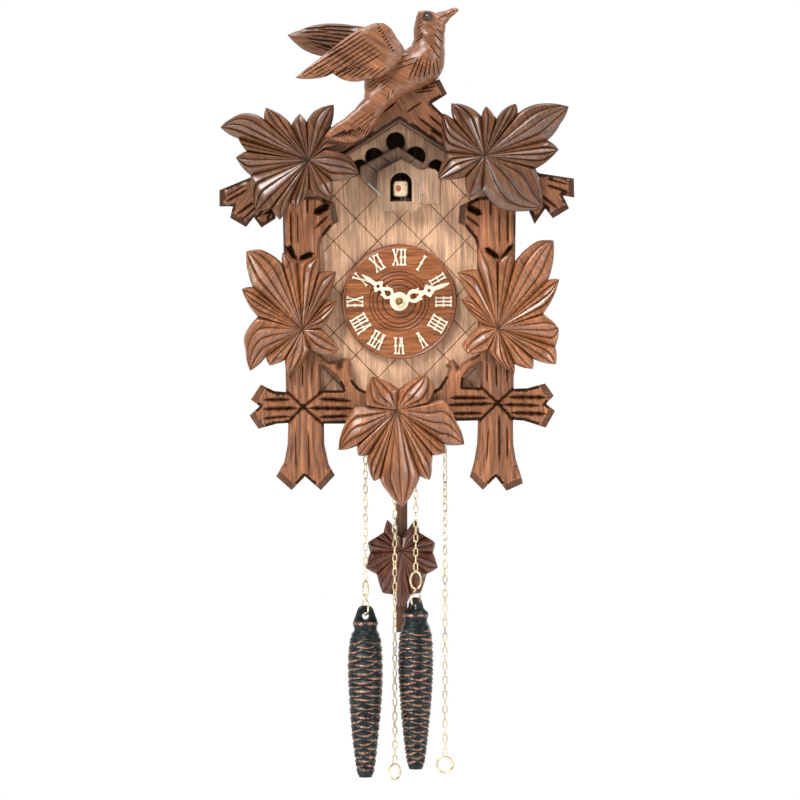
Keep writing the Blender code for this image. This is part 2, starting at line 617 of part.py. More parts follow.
def make_gong():
    turns, start, end, count = 1.6, 30.0, 22.0, 36
    spiral = []
    for i in range(count + 1):
        angle = 2 * math.pi * turns * i / count
        radius = start + (end - start) * i / count
        spiral.append((radius * math.cos(angle), -13, -20 + radius * math.sin(angle)))
    wire("gong", spiral, 1.1, STEEL)
    x, _, z = spiral[-1]
    rod("gong_post", (x, -11.6, z), (x, -BOARD - GAP, z), 2.5, BRASS)
    hammer = turned("strike_hammer",
                    [(0, -1.4), (0.8, -1.4), (0.8, -38.6), (2.6, -39.2), (3.2, -40.4),
                     (3.2, -43.6), (2.6, -44.8), (0, -45.2)],
                    (36, -13, 22), "Z", STEEL, steps=12)
    rod("hammer_pin", (36, -18, 22), (36, -BOARD - GAP, 22), 1.0, STEEL, 12)
    carry(axis_empty("hammer_axis", (36, -13, 22)), [hammer])


# ---------------------------------------------------------------- chains and weights

CONE_PROFILE = [(0, 0), (3.2, -0.4), (5.3, -2.2), (7.1, -7.5), (8.8, -11.8), (8.3, -14.5),
                (7.8, -17), (10.2, -20.8), (11.6, -28), (12.4, -38), (12.5, -50),
                (11.9, -62), (11.0, -74), (10.0, -85), (8.9, -96), (7.3, -108),
                (6.1, -115.5), (5.2, -119.2), (0, -119.6)]
EYE_R = 2.4
LOBE_HALF = 2.0                 # half thickness round the eye


def turn_about(x, y, degrees):
    """A turn about the upright line through (x, y), in mm."""
    spot = Matrix.Translation(Vector((x, y, 0)) * MM)
    return spot @ Matrix.Rotation(math.radians(degrees), 4, "Z") @ spot.inverted()


def make_cone(side, x):
    """A cone-shaped weight. Its top is flattened on two sides and has an eye."""
    shape = WEIGHTS[side]
    top, eye_z = shape["top"], shape["top"] - EYE_DROP
    cone = turned(side + "_weight", CONE_PROFILE, (x, CHAIN_Y, top), "Z", IRON)
    cuts = [box("flat", (x - 10, CHAIN_Y + front, eye_z - 3.6),
                (x + 10, CHAIN_Y + back, top + 2), IRON)
            for front, back in ((-10, -LOBE_HALF), (LOBE_HALF, 10))]
    cuts.append(rod("eye", (x, CHAIN_Y - 9, eye_z), (x, CHAIN_Y + 9, eye_z), EYE_R, IRON, 16))
    bpy.context.view_layer.update()
    for cut in cuts:
        cut.matrix_world = turn_about(x, CHAIN_Y, shape["cone_turn"]) @ cut.matrix_world
        combine(cone, cut, "DIFFERENCE")
    return cone


def make_hook(side, x):
    """An S-hook: a loop above that takes the chain, and an open bend through the eye."""
    shape = WEIGHTS[side]

    def spot(out, z, degrees):
        angle = math.radians(degrees)
        return (x + out * math.sin(angle), CHAIN_Y - out * math.cos(angle), z)
    turn = shape["hook_turn"]
    middle = shape["top"] - EYE_DROP + 0.6 + HOOK_BEND
    points = [spot(-HOOK_BEND, middle + shape["hook_rise"], turn)]
    for i in range(9):
        angle = math.radians(180 - 20 * i)
        points.append(spot(HOOK_BEND * math.cos(angle),
                           middle - HOOK_BEND * math.sin(angle), turn))
    points.append(spot(HOOK_BEND, middle + 3, turn))
    wide, tall = 3.9, shape["loop_half"]
    centre = shape["loop_top"] - 0.7 - tall
    points.append(spot(1.2, centre - tall - 1.8, shape["loop_turn"]))
    for i in range(13):
        angle = math.radians(-90 + 25 * i)
        points.append(spot(wide * math.cos(angle), centre + tall * math.sin(angle),
                           shape["loop_turn"]))
    return wire(side + "_hook", points, 0.7, BRASS)


def make_ring(side, spot, turn):
    bpy.ops.mesh.primitive_torus_add(
        major_radius=5.6 * MM, minor_radius=0.8 * MM, major_segments=20,
        minor_segments=8, location=Vector(spot) * MM,
        rotation=(math.pi / 2, 0, turn))
    ring = bpy.context.object
    ring.name = side + "_ring"
    return place(ring, BRASS)


def make_drive(side, wheel_x, ring_z, ring_turn):
    """One train's chain, with its weight on the left and its pull ring on the right."""
    weight_x = wheel_x - CHAIN_PITCH_R
    ring_x = wheel_x + CHAIN_PITCH_R
    cone = make_cone(side, weight_x)
    hook = make_hook(side, weight_x)
    fall = rod(side + "_weight_chain", (weight_x, CHAIN_Y, 0),
               (weight_x, CHAIN_Y, WEIGHTS[side]["loop_top"] + 0.4), CHAIN_R, BRASS, 8)
    carry(axis_empty(side + "_weight_axis", (weight_x, CHAIN_Y, 0)), [cone, hook, fall])
    ring = make_ring(side, (ring_x, CHAIN_Y, ring_z), ring_turn)
    pull = rod(side + "_ring_chain", (ring_x, CHAIN_Y, 26),
               (ring_x, CHAIN_Y, ring_z + 6.7), CHAIN_R, BRASS, 8)
    carry(axis_empty(side + "_ring_axis", (ring_x, CHAIN_Y, 26)), [ring, pull])


make_case()
make_carving()
make_bird()
make_porch()
make_door()
make_cuckoo()
make_dial()
make_plates()
make_chain_wheel("left", LEFT_WHEEL_X)
make_chain_wheel("right", RIGHT_WHEEL_X)
make_escapement()
make_pendulum()
make_bellows()
make_gong()
make_drive("left", LEFT_WHEEL_X, -325.7, math.radians(49))
make_drive("right", RIGHT_WHEEL_X, -320.8, 0)
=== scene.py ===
"""Looks for the carved cuckoo clock: carved wood, turned dial, chains and cast cones.

Everything is in the frame of the CAD model: metres, +Z up, front towards -Y.
Outlines are (x, z) points in millimetres, seen from the front.
"""
import math

import bmesh
import bpy
import numpy as np
from mathutils import Matrix, Vector, geometry


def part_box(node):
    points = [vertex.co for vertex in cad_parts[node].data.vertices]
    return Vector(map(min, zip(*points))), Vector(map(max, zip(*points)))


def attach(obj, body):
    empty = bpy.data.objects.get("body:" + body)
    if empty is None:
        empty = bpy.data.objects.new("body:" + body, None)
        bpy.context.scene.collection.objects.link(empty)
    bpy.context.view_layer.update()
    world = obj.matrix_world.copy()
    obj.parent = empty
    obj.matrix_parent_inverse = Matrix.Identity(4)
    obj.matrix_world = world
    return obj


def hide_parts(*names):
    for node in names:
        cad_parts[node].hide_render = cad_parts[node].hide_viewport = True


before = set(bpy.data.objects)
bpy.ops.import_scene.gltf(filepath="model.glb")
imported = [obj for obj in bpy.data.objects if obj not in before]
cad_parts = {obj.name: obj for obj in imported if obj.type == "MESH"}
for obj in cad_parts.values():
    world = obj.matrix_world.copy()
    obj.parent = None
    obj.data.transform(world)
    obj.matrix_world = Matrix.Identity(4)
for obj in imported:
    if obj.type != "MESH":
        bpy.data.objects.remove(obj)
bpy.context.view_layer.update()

MM = 0.001
PLAIN = 0.6                     # relief of a piece with no carving
ROOF_TOP, ROOF_SLOPE = 123.5, 0.629     # underside of the roof at the ridge, and its fall per mm
CASE_HALF, CASE_LOW = 62, -74


def roof_at(x):
    """Height of the roof's underside, in mm."""
    return ROOF_TOP - ROOF_SLOPE * abs(x)


def depths(node):
    """Front and rear y of a CAD node, in mm."""
    low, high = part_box(node)
    return low.y / MM, high.y / MM


# ---------------------------------------------------------------- stage

LAMP_AIM = (0, -0.09, 0)
FLOOR_Z, FLOOR_HALF = -0.45, 1.5


def make_camera():
    """A long lens level with the middle of the clock."""
    distance, width = 5.0, 0.55
    dial_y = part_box("dial")[0].y
    camera = bpy.data.cameras.new("camera")
    camera.sensor_width = 36
    camera.lens = camera.sensor_width * distance / width
    camera.clip_end = 50
    eye = bpy.data.objects.new("camera", camera)
    eye.location = (0.0005, dial_y - distance, -0.0677)
    eye.rotation_euler = (math.pi / 2, 0, 0)
    bpy.context.scene.collection.objects.link(eye)
    bpy.context.scene.camera = eye


def make_world():
    """White behind the clock and dimmer in front of it, so that the lamps shape the carving."""
    world = bpy.data.worlds.new("studio")
    world.use_nodes = True
    tree = world.node_tree
    sky = tree.nodes.new("ShaderNodeTexCoord")
    split = tree.nodes.new("ShaderNodeSeparateXYZ")
    ramp = tree.nodes.new("ShaderNodeMapRange")
    for name, value in (("From Min", -0.5), ("From Max", 0.5), ("To Min", 0.33), ("To Max", 1.0)):
        ramp.inputs[name].default_value = value
    tree.links.new(sky.outputs["Generated"], split.inputs["Vector"])
    tree.links.new(split.outputs["Y"], ramp.inputs["Value"])
    tree.links.new(ramp.outputs["Result"], tree.nodes["Background"].inputs["Strength"])
    tree.nodes["Background"].inputs["Color"].default_value = (1, 1, 1, 1)
    bpy.context.scene.world = world
    bpy.context.scene.view_settings.view_transform = "Standard"


def make_lamps():
    """Soft square lamps, each with its place, its size in metres and its power in watts."""
    for name, spot, size, power in (
            ("key", (-0.85, -1.3, 1.35), 0.8, 46),
            ("fill", (1.5, -1.3, 0.1), 1.0, 7),
            ("top", (0.2, -0.35, 1.7), 0.8, 16),
            ("back", (0.6, 1.4, 0.8), 1.4, 10),
            ("left_strip", (-1.5, -0.75, -0.25), 0.4, 9),
            ("right_strip", (1.5, -0.75, 0.5), 0.4, 9)):
        lamp = bpy.data.lights.new(name, "AREA")
        lamp.size = size
        lamp.energy = power
        holder = bpy.data.objects.new(name, lamp)
        holder.location = spot
        aim = Vector(LAMP_AIM) - Vector(spot)
        holder.rotation_euler = aim.to_track_quat("-Z", "Y").to_euler()
        bpy.context.scene.collection.objects.link(holder)


def make_floor():
    """A pale floor below the weights at their lowest."""
    mesh = bpy.data.meshes.new("floor")
    half = FLOOR_HALF
    corners = [(x, y, FLOOR_Z) for x, y in ((-half, -half), (half, -half), (half, half), (-half, half))]
    mesh.from_pydata(corners, [], [(0, 1, 2, 3)])
    floor = bpy.data.objects.new("floor", mesh)
    bpy.context.scene.collection.objects.link(floor)
    paint = bpy.data.materials.new("floor")
    paint.use_nodes = True
    paint.node_tree.nodes["Principled BSDF"].inputs["Base Color"].default_value = (.86, .86, .85, 1)
    mesh.materials.append(paint)


# ---------------------------------------------------------------- materials

class Nodes:
    """A short way to write a material's node tree."""

    def __init__(self, name):
        self.material = bpy.data.materials.new(name)
        self.material.use_nodes = True
        self.tree = self.material.node_tree
        self.shader = self.tree.nodes["Principled BSDF"]
        self.where = self.add("ShaderNodeTexCoord").outputs["Object"]

    def add(self, kind, **values):
        """A new node, with values for its inputs or its settings."""
        node = self.tree.nodes.new(kind)
        for key, value in values.items():
            if key in node.inputs:
                node.inputs[key].default_value = value
            else:
                setattr(node, key, value)
        return node

    def link(self, start, end):
        self.tree.links.new(start, end)

    def feed(self, socket, value):
        """Link a value to the shader, or set a number that is the same all over."""
        if isinstance(value, (int, float)):
            self.shader.inputs[socket].default_value = value
        else:
            self.link(value, self.shader.inputs[socket])

    def mapped(self, scale, turn=0.0):
        """Object coordinates, turned about Y and then stretched."""
        spin = self.add("ShaderNodeMapping")
        spin.inputs["Rotation"].default_value = (0, turn, 0)
        self.link(self.where, spin.inputs["Vector"])
        stretch = self.add("ShaderNodeMapping")
        stretch.inputs["Scale"].default_value = scale
        self.link(spin.outputs["Vector"], stretch.inputs["Vector"])
        return stretch.outputs["Vector"]

    def noise(self, vector, scale, detail=4.0, rough=0.55, bend=0.0):
        """Noise between 0 and 1, most of it near the middle."""
        node = self.add("ShaderNodeTexNoise", Scale=scale, Detail=detail, Roughness=rough,
                        Distortion=bend)
        self.link(vector, node.inputs["Vector"])
        return node.outputs["Fac"]

    def ramp(self, value, stops):
        """Colours at stops of (place, colour), blended between them."""
        node = self.add("ShaderNodeValToRGB")
        band = node.color_ramp
        while len(band.elements) < len(stops):
            band.elements.new(0.5)
        for element, (position, color) in zip(band.elements, stops):
            element.position = position
            element.color = (*color, 1) if len(color) == 3 else color
        self.link(value, node.inputs["Fac"])
        return node.outputs["Color"]

    def grays(self, value, *stops):
        """A ramp of grays at stops of (place, tone)."""
        return self.ramp(value, [(place, (tone, tone, tone)) for place, tone in stops])

    def mix(self, factor, first, second, blend="MIX"):
        """Two colours blended; each input is a link, a number or a colour."""
        node = self.add("ShaderNodeMix", data_type="RGBA", blend_type=blend)
        for socket, value in ((node.inputs[0], factor), (node.inputs[6], first),
                              (node.inputs[7], second)):
            if isinstance(value, (float, int)):
                socket.default_value = value
            elif isinstance(value, tuple):
                socket.default_value = (*value, 1)
            else:
                self.link(value, socket)
        return node.outputs[2]

    def bump(self, value, strength, distance, normal=None):
        """A normal tilted by the slopes of a value, on top of an earlier normal."""
        node = self.add("ShaderNodeBump", Strength=strength, Distance=distance)
        self.link(value, node.inputs["Height"])
        if normal:
            self.link(normal, node.inputs["Normal"])
        return node.outputs["Normal"]

    def relief(self):
        """How deep a point lies in the carving, 0 in a groove and 1 on a ridge; on the carved wood it
        also carries painted shade and light.
        """
        return self.add("ShaderNodeAttribute", attribute_name="relief").outputs["Fac"]


def make_wood(name, tones, turn, gloss, coat, grain, relief_shading):
    """Stained wood: long grain, pores, painted shade in the cuts, and ridges lighter from wear and
    painted light.

    tones are the dark, middle and light colour of the grain, turn is its angle about Y,
    and the last number says how strongly the carving's relief paints shade into the cuts and light,
    with wear, onto the ridges.
    """
    n = Nodes(name)
    dark, mid, light = tones
    patches = n.noise(n.mapped((1, 1, 0.45), turn), 55, 3, 0.6)
    bands = n.noise(n.mapped((1, 1, 0.06), turn), grain * 0.42, 3, 0.55, 0.5)
    streaks = n.noise(n.mapped((1, 1, 0.05), turn), grain, 5, 0.66, 0.4)
    pores = n.noise(n.mapped((1, 1, 0.05), turn), grain * 2.6, 3, 0.7)
    color = n.ramp(streaks, [(0.30, dark), (0.5, mid), (0.72, light)])
    tone = n.grays(patches, (0.3, 0.68), (0.7, 1.16))
    color = n.mix(1.0, color, tone, "MULTIPLY")
    tone = n.grays(bands, (0.36, 0.70), (0.64, 1.12))
    color = n.mix(0.8, color, tone, "MULTIPLY")
    pits = n.grays(pores, (0.36, 0.30), (0.46, 1.0))
    color = n.mix(0.5, color, pits, "MULTIPLY")
    # Painted shade and light: the relief darkens the cuts almost to black and lifts the ridges by half
    # again, partly as wear.
    cut = n.grays(n.relief(), (0.0, 0.03), (0.3, 0.50), (0.62, 1.0), (0.86, 1.08), (1.0, 1.55))
    color = n.mix(relief_shading, color, cut, "MULTIPLY")
    # The cuts stay dull, and the polish is only on what stands proud.
    n.feed("Specular IOR Level", n.grays(n.relief(), (0.05, 0.04), (0.42, 0.5)))
    n.feed("Coat Weight", n.grays(n.relief(), (0.15, 0.0), (0.55, coat)))
    n.feed("Base Color", color)
    rough = n.grays(patches, (0.3, gloss), (0.7, gloss + 0.14))
    n.feed("Roughness", rough)
    normal = n.bump(pores, 0.18, 0.00015)
    normal = n.bump(streaks, 0.22, 0.0002, normal)
    n.feed("Normal", normal)
    n.feed("Coat Roughness", 0.24)
    return n.material


def make_metal(name, dark, light, rough, grain=1500.0, metallic=1.0):
    """Wire and plate: slight tarnish, fine scratches."""
    n = Nodes(name)
    spots = n.noise(n.mapped((1, 1, 1)), grain, 4, 0.6)
    haze = n.noise(n.mapped((1, 1, 1)), grain / 9, 3, 0.5)
    n.feed("Base Color", n.ramp(haze, [(0.3, dark), (0.7, light)]))
    n.feed("Roughness", n.grays(spots, (0.3, rough), (0.75, rough + 0.18)))
    n.feed("Normal", n.bump(spots, 0.12, 0.0001))
    n.feed("Metallic", metallic)
    return n.material


def make_cone_metal():
    """Blackened cast iron with copper rubbed onto the high scales."""
    n = Nodes("cone_iron")
    grit = n.noise(n.mapped((1, 1, 1)), 900, 6, 0.65)
    blotch = n.noise(n.mapped((1, 1, 1)), 160, 4, 0.6)
    black = n.ramp(blotch, [(0.35, (0.008, 0.011, 0.012)), (0.7, (0.024, 0.030, 0.031))])
    copper = n.ramp(grit, [(0.3, (0.22, 0.10, 0.06)), (0.7, (0.54, 0.30, 0.21))])
    high = n.grays(n.relief(), (0.50, 0.0), (0.86, 1.0))
    broken = n.grays(grit, (0.40, 0.0), (0.55, 1.0))
    rub = n.mix(1.0, high, broken, "MULTIPLY")
    n.feed("Base Color", n.mix(rub, black, copper))
    n.feed("Roughness", n.grays(grit, (0.3, 0.28), (0.7, 0.5)))
    n.feed("Metallic", 0.75)
    n.feed("Normal", n.bump(grit, 0.5, 0.0003))
    return n.material


def make_paint(name, low, high, rough, grain=700.0, depth=0.0001, coat=0.0):
    """Moulded plastic or brushed paint with faint unevenness."""
    n = Nodes(name)
    spots = n.noise(n.mapped((1, 1, 1)), grain, 4, 0.6)
    n.feed("Base Color", n.ramp(spots, [(0.3, low), (0.7, high)]))
    n.feed("Roughness", n.grays(spots, (0.3, rough), (0.7, rough + 0.12)))
    n.feed("Normal", n.bump(spots, 0.3, depth))
    n.feed("Coat Weight", coat)
    return n.material


BROWN = ((0.100, 0.031, 0.010), (0.240, 0.085, 0.031), (0.395, 0.165, 0.070))
PALE = ((0.34, 0.172, 0.090), (0.58, 0.340, 0.205), (0.76, 0.490, 0.328))
PENDULUM_BROWN = ((0.030, 0.007, 0.003), (0.115, 0.028, 0.010), (0.240, 0.070, 0.026))
LATH_BROWN = ((0.045, 0.016, 0.008), (0.13, 0.052, 0.024), (0.24, 0.105, 0.052))
SIDE_BROWN = ((0.11, 0.042, 0.018), (0.24, 0.10, 0.045), (0.38, 0.18, 0.085))
ROOF_BROWN = ((0.055, 0.018, 0.008), (0.16, 0.055, 0.020), (0.28, 0.115, 0.045))
BACK_PINE = ((0.36, 0.20, 0.085), (0.56, 0.36, 0.18), (0.72, 0.52, 0.30))
WHISTLE_PINE = ((0.42, 0.25, 0.11), (0.60, 0.41, 0.22), (0.76, 0.57, 0.35))


def lifted(tones, lift):
    """The same colours, lighter or darker."""
    return [tuple(c * lift for c in tone) for tone in tones]


def carved_wood(name, turn, lift=1.0, gloss=0.36, coat=0.14):
    """The brown stained wood of everything carved, with its grain turned by some degrees."""
    return make_wood(name, lifted(BROWN, lift), math.radians(turn), gloss, coat, 900, 0.93)


def panel_wood(name, turn, lift, relief_shading=0.8):
    """The paler, duller wood of the front board, the porch and the door."""
    return make_wood(name, lifted(PALE, lift), math.radians(turn), 0.48, 0.04, 900, relief_shading)


# ---------------------------------------------------------------- shape tools

def area(loop):
    """The area inside a loop, negative where the loop runs clockwise."""
    p = np.array(loop)
    q = np.roll(p, -1, 0)
    return 0.5 * float((p[:, 0] * q[:, 1] - q[:, 0] * p[:, 1]).sum())


def counter_clockwise(loop):
    """The loop, turned round if it runs clockwise."""
    return list(loop) if area(loop) > 0 else list(loop)[::-1]


def bowed(loop, bulge, step):
    """The loop with each side bowed outwards a little, and cut into short steps."""
    loop = counter_clockwise(loop)
    out = []
    for (x0, z0), (x1, z1) in zip(loop, loop[1:] + loop[:1]):
        dx, dz = x1 - x0, z1 - z0
        count = max(1, int(round(math.hypot(dx, dz) / step)))
        for i in range(count):
            t = i / count
            push = 4 * bulge * t * (1 - t)
            out.append((x0 + dx * t + dz * push, z0 + dz * t - dx * push))
    return out


def inside(points, loop):
    """Which points lie inside the loop."""
    x, z = points[:, 0], points[:, 1]
    result = np.zeros(len(points), bool)
    for (x0, z0), (x1, z1) in zip(loop, loop[1:] + loop[:1]):
        if z0 == z1:
            continue
        crosses = (z0 > z) != (z1 > z)
        result ^= crosses & (x < (x1 - x0) * (z - z0) / (z1 - z0) + x0)
    return result


def distance(points, line, closed=False):
    """Distance from each point to a polyline."""
    line = np.array(line, float)
    ends = np.roll(line, -1, 0) if closed else line[1:]
    starts = line if closed else line[:-1]
    best = np.full(len(points), 1e9)
    for a, b in zip(starts, ends):
        ab = b - a
        t = np.clip(((points - a) @ ab) / max(ab @ ab, 1e-12), 0, 1)
        best = np.minimum(best, np.hypot(*(points - a - t[:, None] * ab).T))
    return best


def grid_inside(loops, step, margin):
    """Staggered grid points inside the first loop and outside the others."""
    outer = np.array(loops[0])
    low, high = outer.min(0), outer.max(0)
    rows = []
    for k, z in enumerate(np.arange(low[1], high[1], step * 0.87)):
        xs = np.arange(low[0] + (k % 2) * step / 2, high[0], step)
        rows.append(np.column_stack([xs, np.full(len(xs), z)]))
    points = np.concatenate(rows)
    keep = inside(points, loops[0])
    for hole in loops[1:]:
        keep &= ~inside(points, hole)
    points = points[keep]
    near = np.min([distance(points, loop, True) for loop in loops], 0)
    return points[near > margin]


def triangulate(loops, extra=()):
    """Triangles that fill the loops. Returns points, triangles, and each loop's indices."""
    points = [Vector(p) for loop in loops for p in loop]
    edges, start = [], 0
    for loop in loops:
        count = len(loop)
        edges += [(start + i, start + (i + 1) % count) for i in range(count)]
        start += count
    points += [Vector(p) for p in extra]
    verts, _, faces, origin, _, _ = geometry.delaunay_2d_cdt(points, edges, [], 1, 1e-5)
    place = {old: new for new, olds in enumerate(origin) for old in olds}
    flat = np.array([tuple(v) for v in verts])
    middles = np.array([flat[list(f)].mean(0) for f in faces])
    keep = np.ones(len(faces), bool)
    for hole in loops[1:]:
        keep &= ~inside(middles, hole)
    faces = [f for f, k in zip(faces, keep) if k]
    rims, start = [], 0
    for loop in loops:
        rims.append([place[start + i] for i in range(len(loop))])
        start += len(loop)
    return flat, faces, rims


def new_piece(name, verts, faces, material, relief=None, sharp=35):
    """A shaded mesh object from points in mm."""
    mesh = bpy.data.meshes.new(name)
    mesh.from_pydata((np.array(verts) * MM).tolist(), [], faces)
    if relief is not None:
        layer = mesh.attributes.new("relief", "FLOAT", "POINT")
        layer.data.foreach_set("value", np.asarray(relief, np.float32))
    shape = bmesh.new()
    shape.from_mesh(mesh)
    bmesh.ops.recalc_face_normals(shape, faces=shape.faces)
    shape.to_mesh(mesh)
    shape.free()
    mesh.shade_smooth()
    mesh.set_sharp_from_angle(angle=math.radians(sharp))
    mesh.materials.append(material)
    obj = bpy.data.objects.new(name, mesh)
    bpy.context.scene.collection.objects.link(obj)
    return obj


def lens(t, blunt):
    """How wide a gouge cut is along its length: pointed at both ends, or blunt."""
    return np.clip(np.sin(np.pi * t) * 1.7, blunt, 1)


def cut_depth(points, cuts):
    """Depth below the face at each point, in cuts of (start, end, half width, bluntness)."""
    best = np.zeros(len(points))
    for start, end, half, blunt in cuts:
        a, ab = np.array(start, float), np.subtract(end, start)
        t = np.clip((points - a) @ ab / (ab @ ab), 0, 1)
        away = np.hypot(*(points - a - t[:, None] * ab).T)
        best = np.maximum(best, half * lens(t, blunt) - away)
    return best


def gouged(points, cuts, tone, shade, margin=0.05, gain=1.0):
    """Depth of the cuts, and the tone with painted shade in the cuts, darker the deeper they are."""
    deep = cut_depth(points, cuts)
    return deep, np.where(deep > margin, shade - shade * np.clip(deep * gain, 0, 1), tone)


def widened(cuts, factor, spot=(0, 0)):
    """The same cuts, wider by a factor and moved to a spot."""
    return [(tuple(np.add(start, spot)), tuple(np.add(end, spot)), half * factor, blunt)
            for start, end, half, blunt in cuts]


def cut_points(cuts, loops, step=0.8):
    """Mesh points along the bottom and both rims of each cut."""
    rows = []
    for start, end, half, blunt in cuts:
        a, ab = np.array(start, float), np.subtract(end, start)
        count = max(3, int(np.hypot(*ab) / step))
        t = np.linspace(0, 1, count + 1)
        across = np.array((-ab[1], ab[0])) / np.hypot(*ab)
        spine = a + t[:, None] * ab
        rim = half * np.maximum(lens(t, blunt), 0.12)[:, None] * across
        rows += [spine, spine + rim, spine - rim]
    points = np.concatenate(rows)
    keep = inside(points, loops[0])
    for hole in loops[1:]:
        keep &= ~inside(points, hole)
    points = points[keep]
    near = np.min([distance(points, loop, True) for loop in loops], 0)
    return points[near > 0.25]


def grid_beside(loops, step, points):
    """The even grid inside the loops, with room left round the chosen points."""
    extra = grid_inside(loops, step, step * 0.55)
    if not len(points):
        return extra
    cell = np.round(points / step).astype(int)
    taken = {(a + i, b + j) for a, b in cell for i in (0, 1, -1) for j in (0, 1, -1)
             if abs(i) + abs(j) < 2}
    mark = np.round(extra / step).astype(int)
    free = np.array([tuple(m) not in taken for m in mark], bool)
    return np.concatenate([extra[free], points])


def carve(name, loops, step, front, back, material, cuts=(), sharp=35):
    """A board cut to the loops. front(points, edge) gives the face's y and its relief.

    back is a number for a flat back, or a function like front.
    """
    extra = grid_beside(loops, step, cut_points(cuts, loops) if cuts else ())
    flat, faces, rims = triangulate(loops, extra)
    edge = np.min([distance(flat, loop, True) for loop in loops], 0)
    y, tone = front(flat, edge)
    verts = np.column_stack([flat[:, 0], y, flat[:, 1]])
    base = len(verts)
    if callable(back):
        y2, tone2 = back(flat, edge)
        rear = np.column_stack([flat[:, 0], y2, flat[:, 1]])
        rear_faces, rear_rims = faces, rims
    else:
        flat2, rear_faces, rear_rims = triangulate(loops)
        rear = np.column_stack([flat2[:, 0], np.full(len(flat2), float(back)), flat2[:, 1]])
        tone2 = np.full(len(flat2), 0.55)
    verts = np.concatenate([verts, rear])
    faces = [tuple(f) for f in faces] + [tuple(base + i for i in f[::-1]) for f in rear_faces]
    for rim, rear_rim in zip(rims, rear_rims):
        for i in range(len(rim)):
            j = (i + 1) % len(rim)
            faces.append((rim[i], rear_rim[i] + base, rear_rim[j] + base, rim[j]))
    return new_piece(name, verts, faces, material, np.concatenate([tone, tone2]), sharp)


def own(piece, body, slot, *nodes):
    """The piece rides on a body and stands for CAD nodes, which are hidden; the slot is not used."""
    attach(piece, body)
    if nodes:
        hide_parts(*nodes)
    return piece


def ease(value, low, high):
    """A smooth step from 0 at low to 1 at high."""
    t = np.clip((value - low) / (high - low), 0, 1)
    return t * t * (3 - 2 * t)


def ripple(points, scale, seed=0.0):
    """A smooth uneven field between about -1 and 1, the same in every run."""
    x, z = points[:, 0] / scale, points[:, 1] / scale
    return (np.sin(x * 1.7 + 1.3 * np.sin(z * 1.1 + seed)) * 0.5
            + np.sin(z * 1.3 + 1.7 * np.sin(x * 0.9 + seed * 2.1) + seed) * 0.5)


def groove(away, width):
    """A V cut: 1 at its bottom, 0 at its edges."""
    return np.clip(1 - away / width, 0, 1)


# ---------------------------------------------------------------- leaves

ROWS_IN, ROWS_OUT = 13, 17      # mesh rows from a leaf's middle to its notches, and on to a tip


def resample(line, count):
    """Points evenly spaced along a polyline."""
    p = np.array(line, float)
    travelled = np.concatenate([[0], np.cumsum(np.hypot(*np.diff(p, axis=0).T))])
    at = np.linspace(0, travelled[-1], count + 1)
    return np.column_stack([np.interp(at, travelled, p[:, k]) for k in (0, 1)])


def bow_line(line, bulge):
    """An open line with each stretch bowed out to its right."""
    out = []
    for (x0, z0), (x1, z1) in zip(line, line[1:]):
        dx, dz = x1 - x0, z1 - z0
        for i in range(10):
            push = 4 * bulge * i / 10 * (1 - i / 10)
            out.append((x0 + dx * i / 10 + dz * push, z0 + dz * i / 10 - dx * push))
    return out + [line[-1]]


def split_lobes(loop, bulge):
    """Cut a leaf at its notches: for each lobe, both sides from notch to tip."""
    count = len(loop)
    middle = np.array(loop).mean(0)
    notches = []
    for i, (x, z) in enumerate(loop):
        (x0, z0), (x1, z1) = loop[i - 1], loop[(i + 1) % count]
        if (x - x0) * (z1 - z) - (z - z0) * (x1 - x) < 0:
            notches.append(i)
    lobes = []
    for a, b in zip(notches, notches[1:] + [notches[0] + count]):
        stretch = [loop[i % count] for i in range(a, b + 1)]
        tip = int(np.argmax([math.dist(p, middle) for p in stretch]))
        tip = min(max(tip, 1), len(stretch) - 2)
        lobes.append((bow_line(stretch[:tip + 1], bulge), bow_line(stretch[tip:], bulge)[::-1]))
    return lobes


def flute_columns(count, skew):
    """Across a lobe: places, wave (0 in a cut, 1 on a crest) and tone, which is painted shade: dark in
    the folds, light on the crests.
    """
    crest = 0.5 + skew
    steps = ((0.0, 0.0, 0.05), (0.06, 0.20, 0.42), (crest * 0.5, 0.58, 0.64),
             (crest - 0.07, 0.93, 0.80), (crest, 1.0, 1.0), (crest + 0.07, 0.93, 0.80),
             ((crest + 1) / 2, 0.58, 0.62), (0.94, 0.20, 0.40))
    rows = [((k + place) / count, wave, tone) for k in range(count)
            for place, wave, tone in steps]
    return np.array(rows + [(1.0, 0.0, 0.05)])


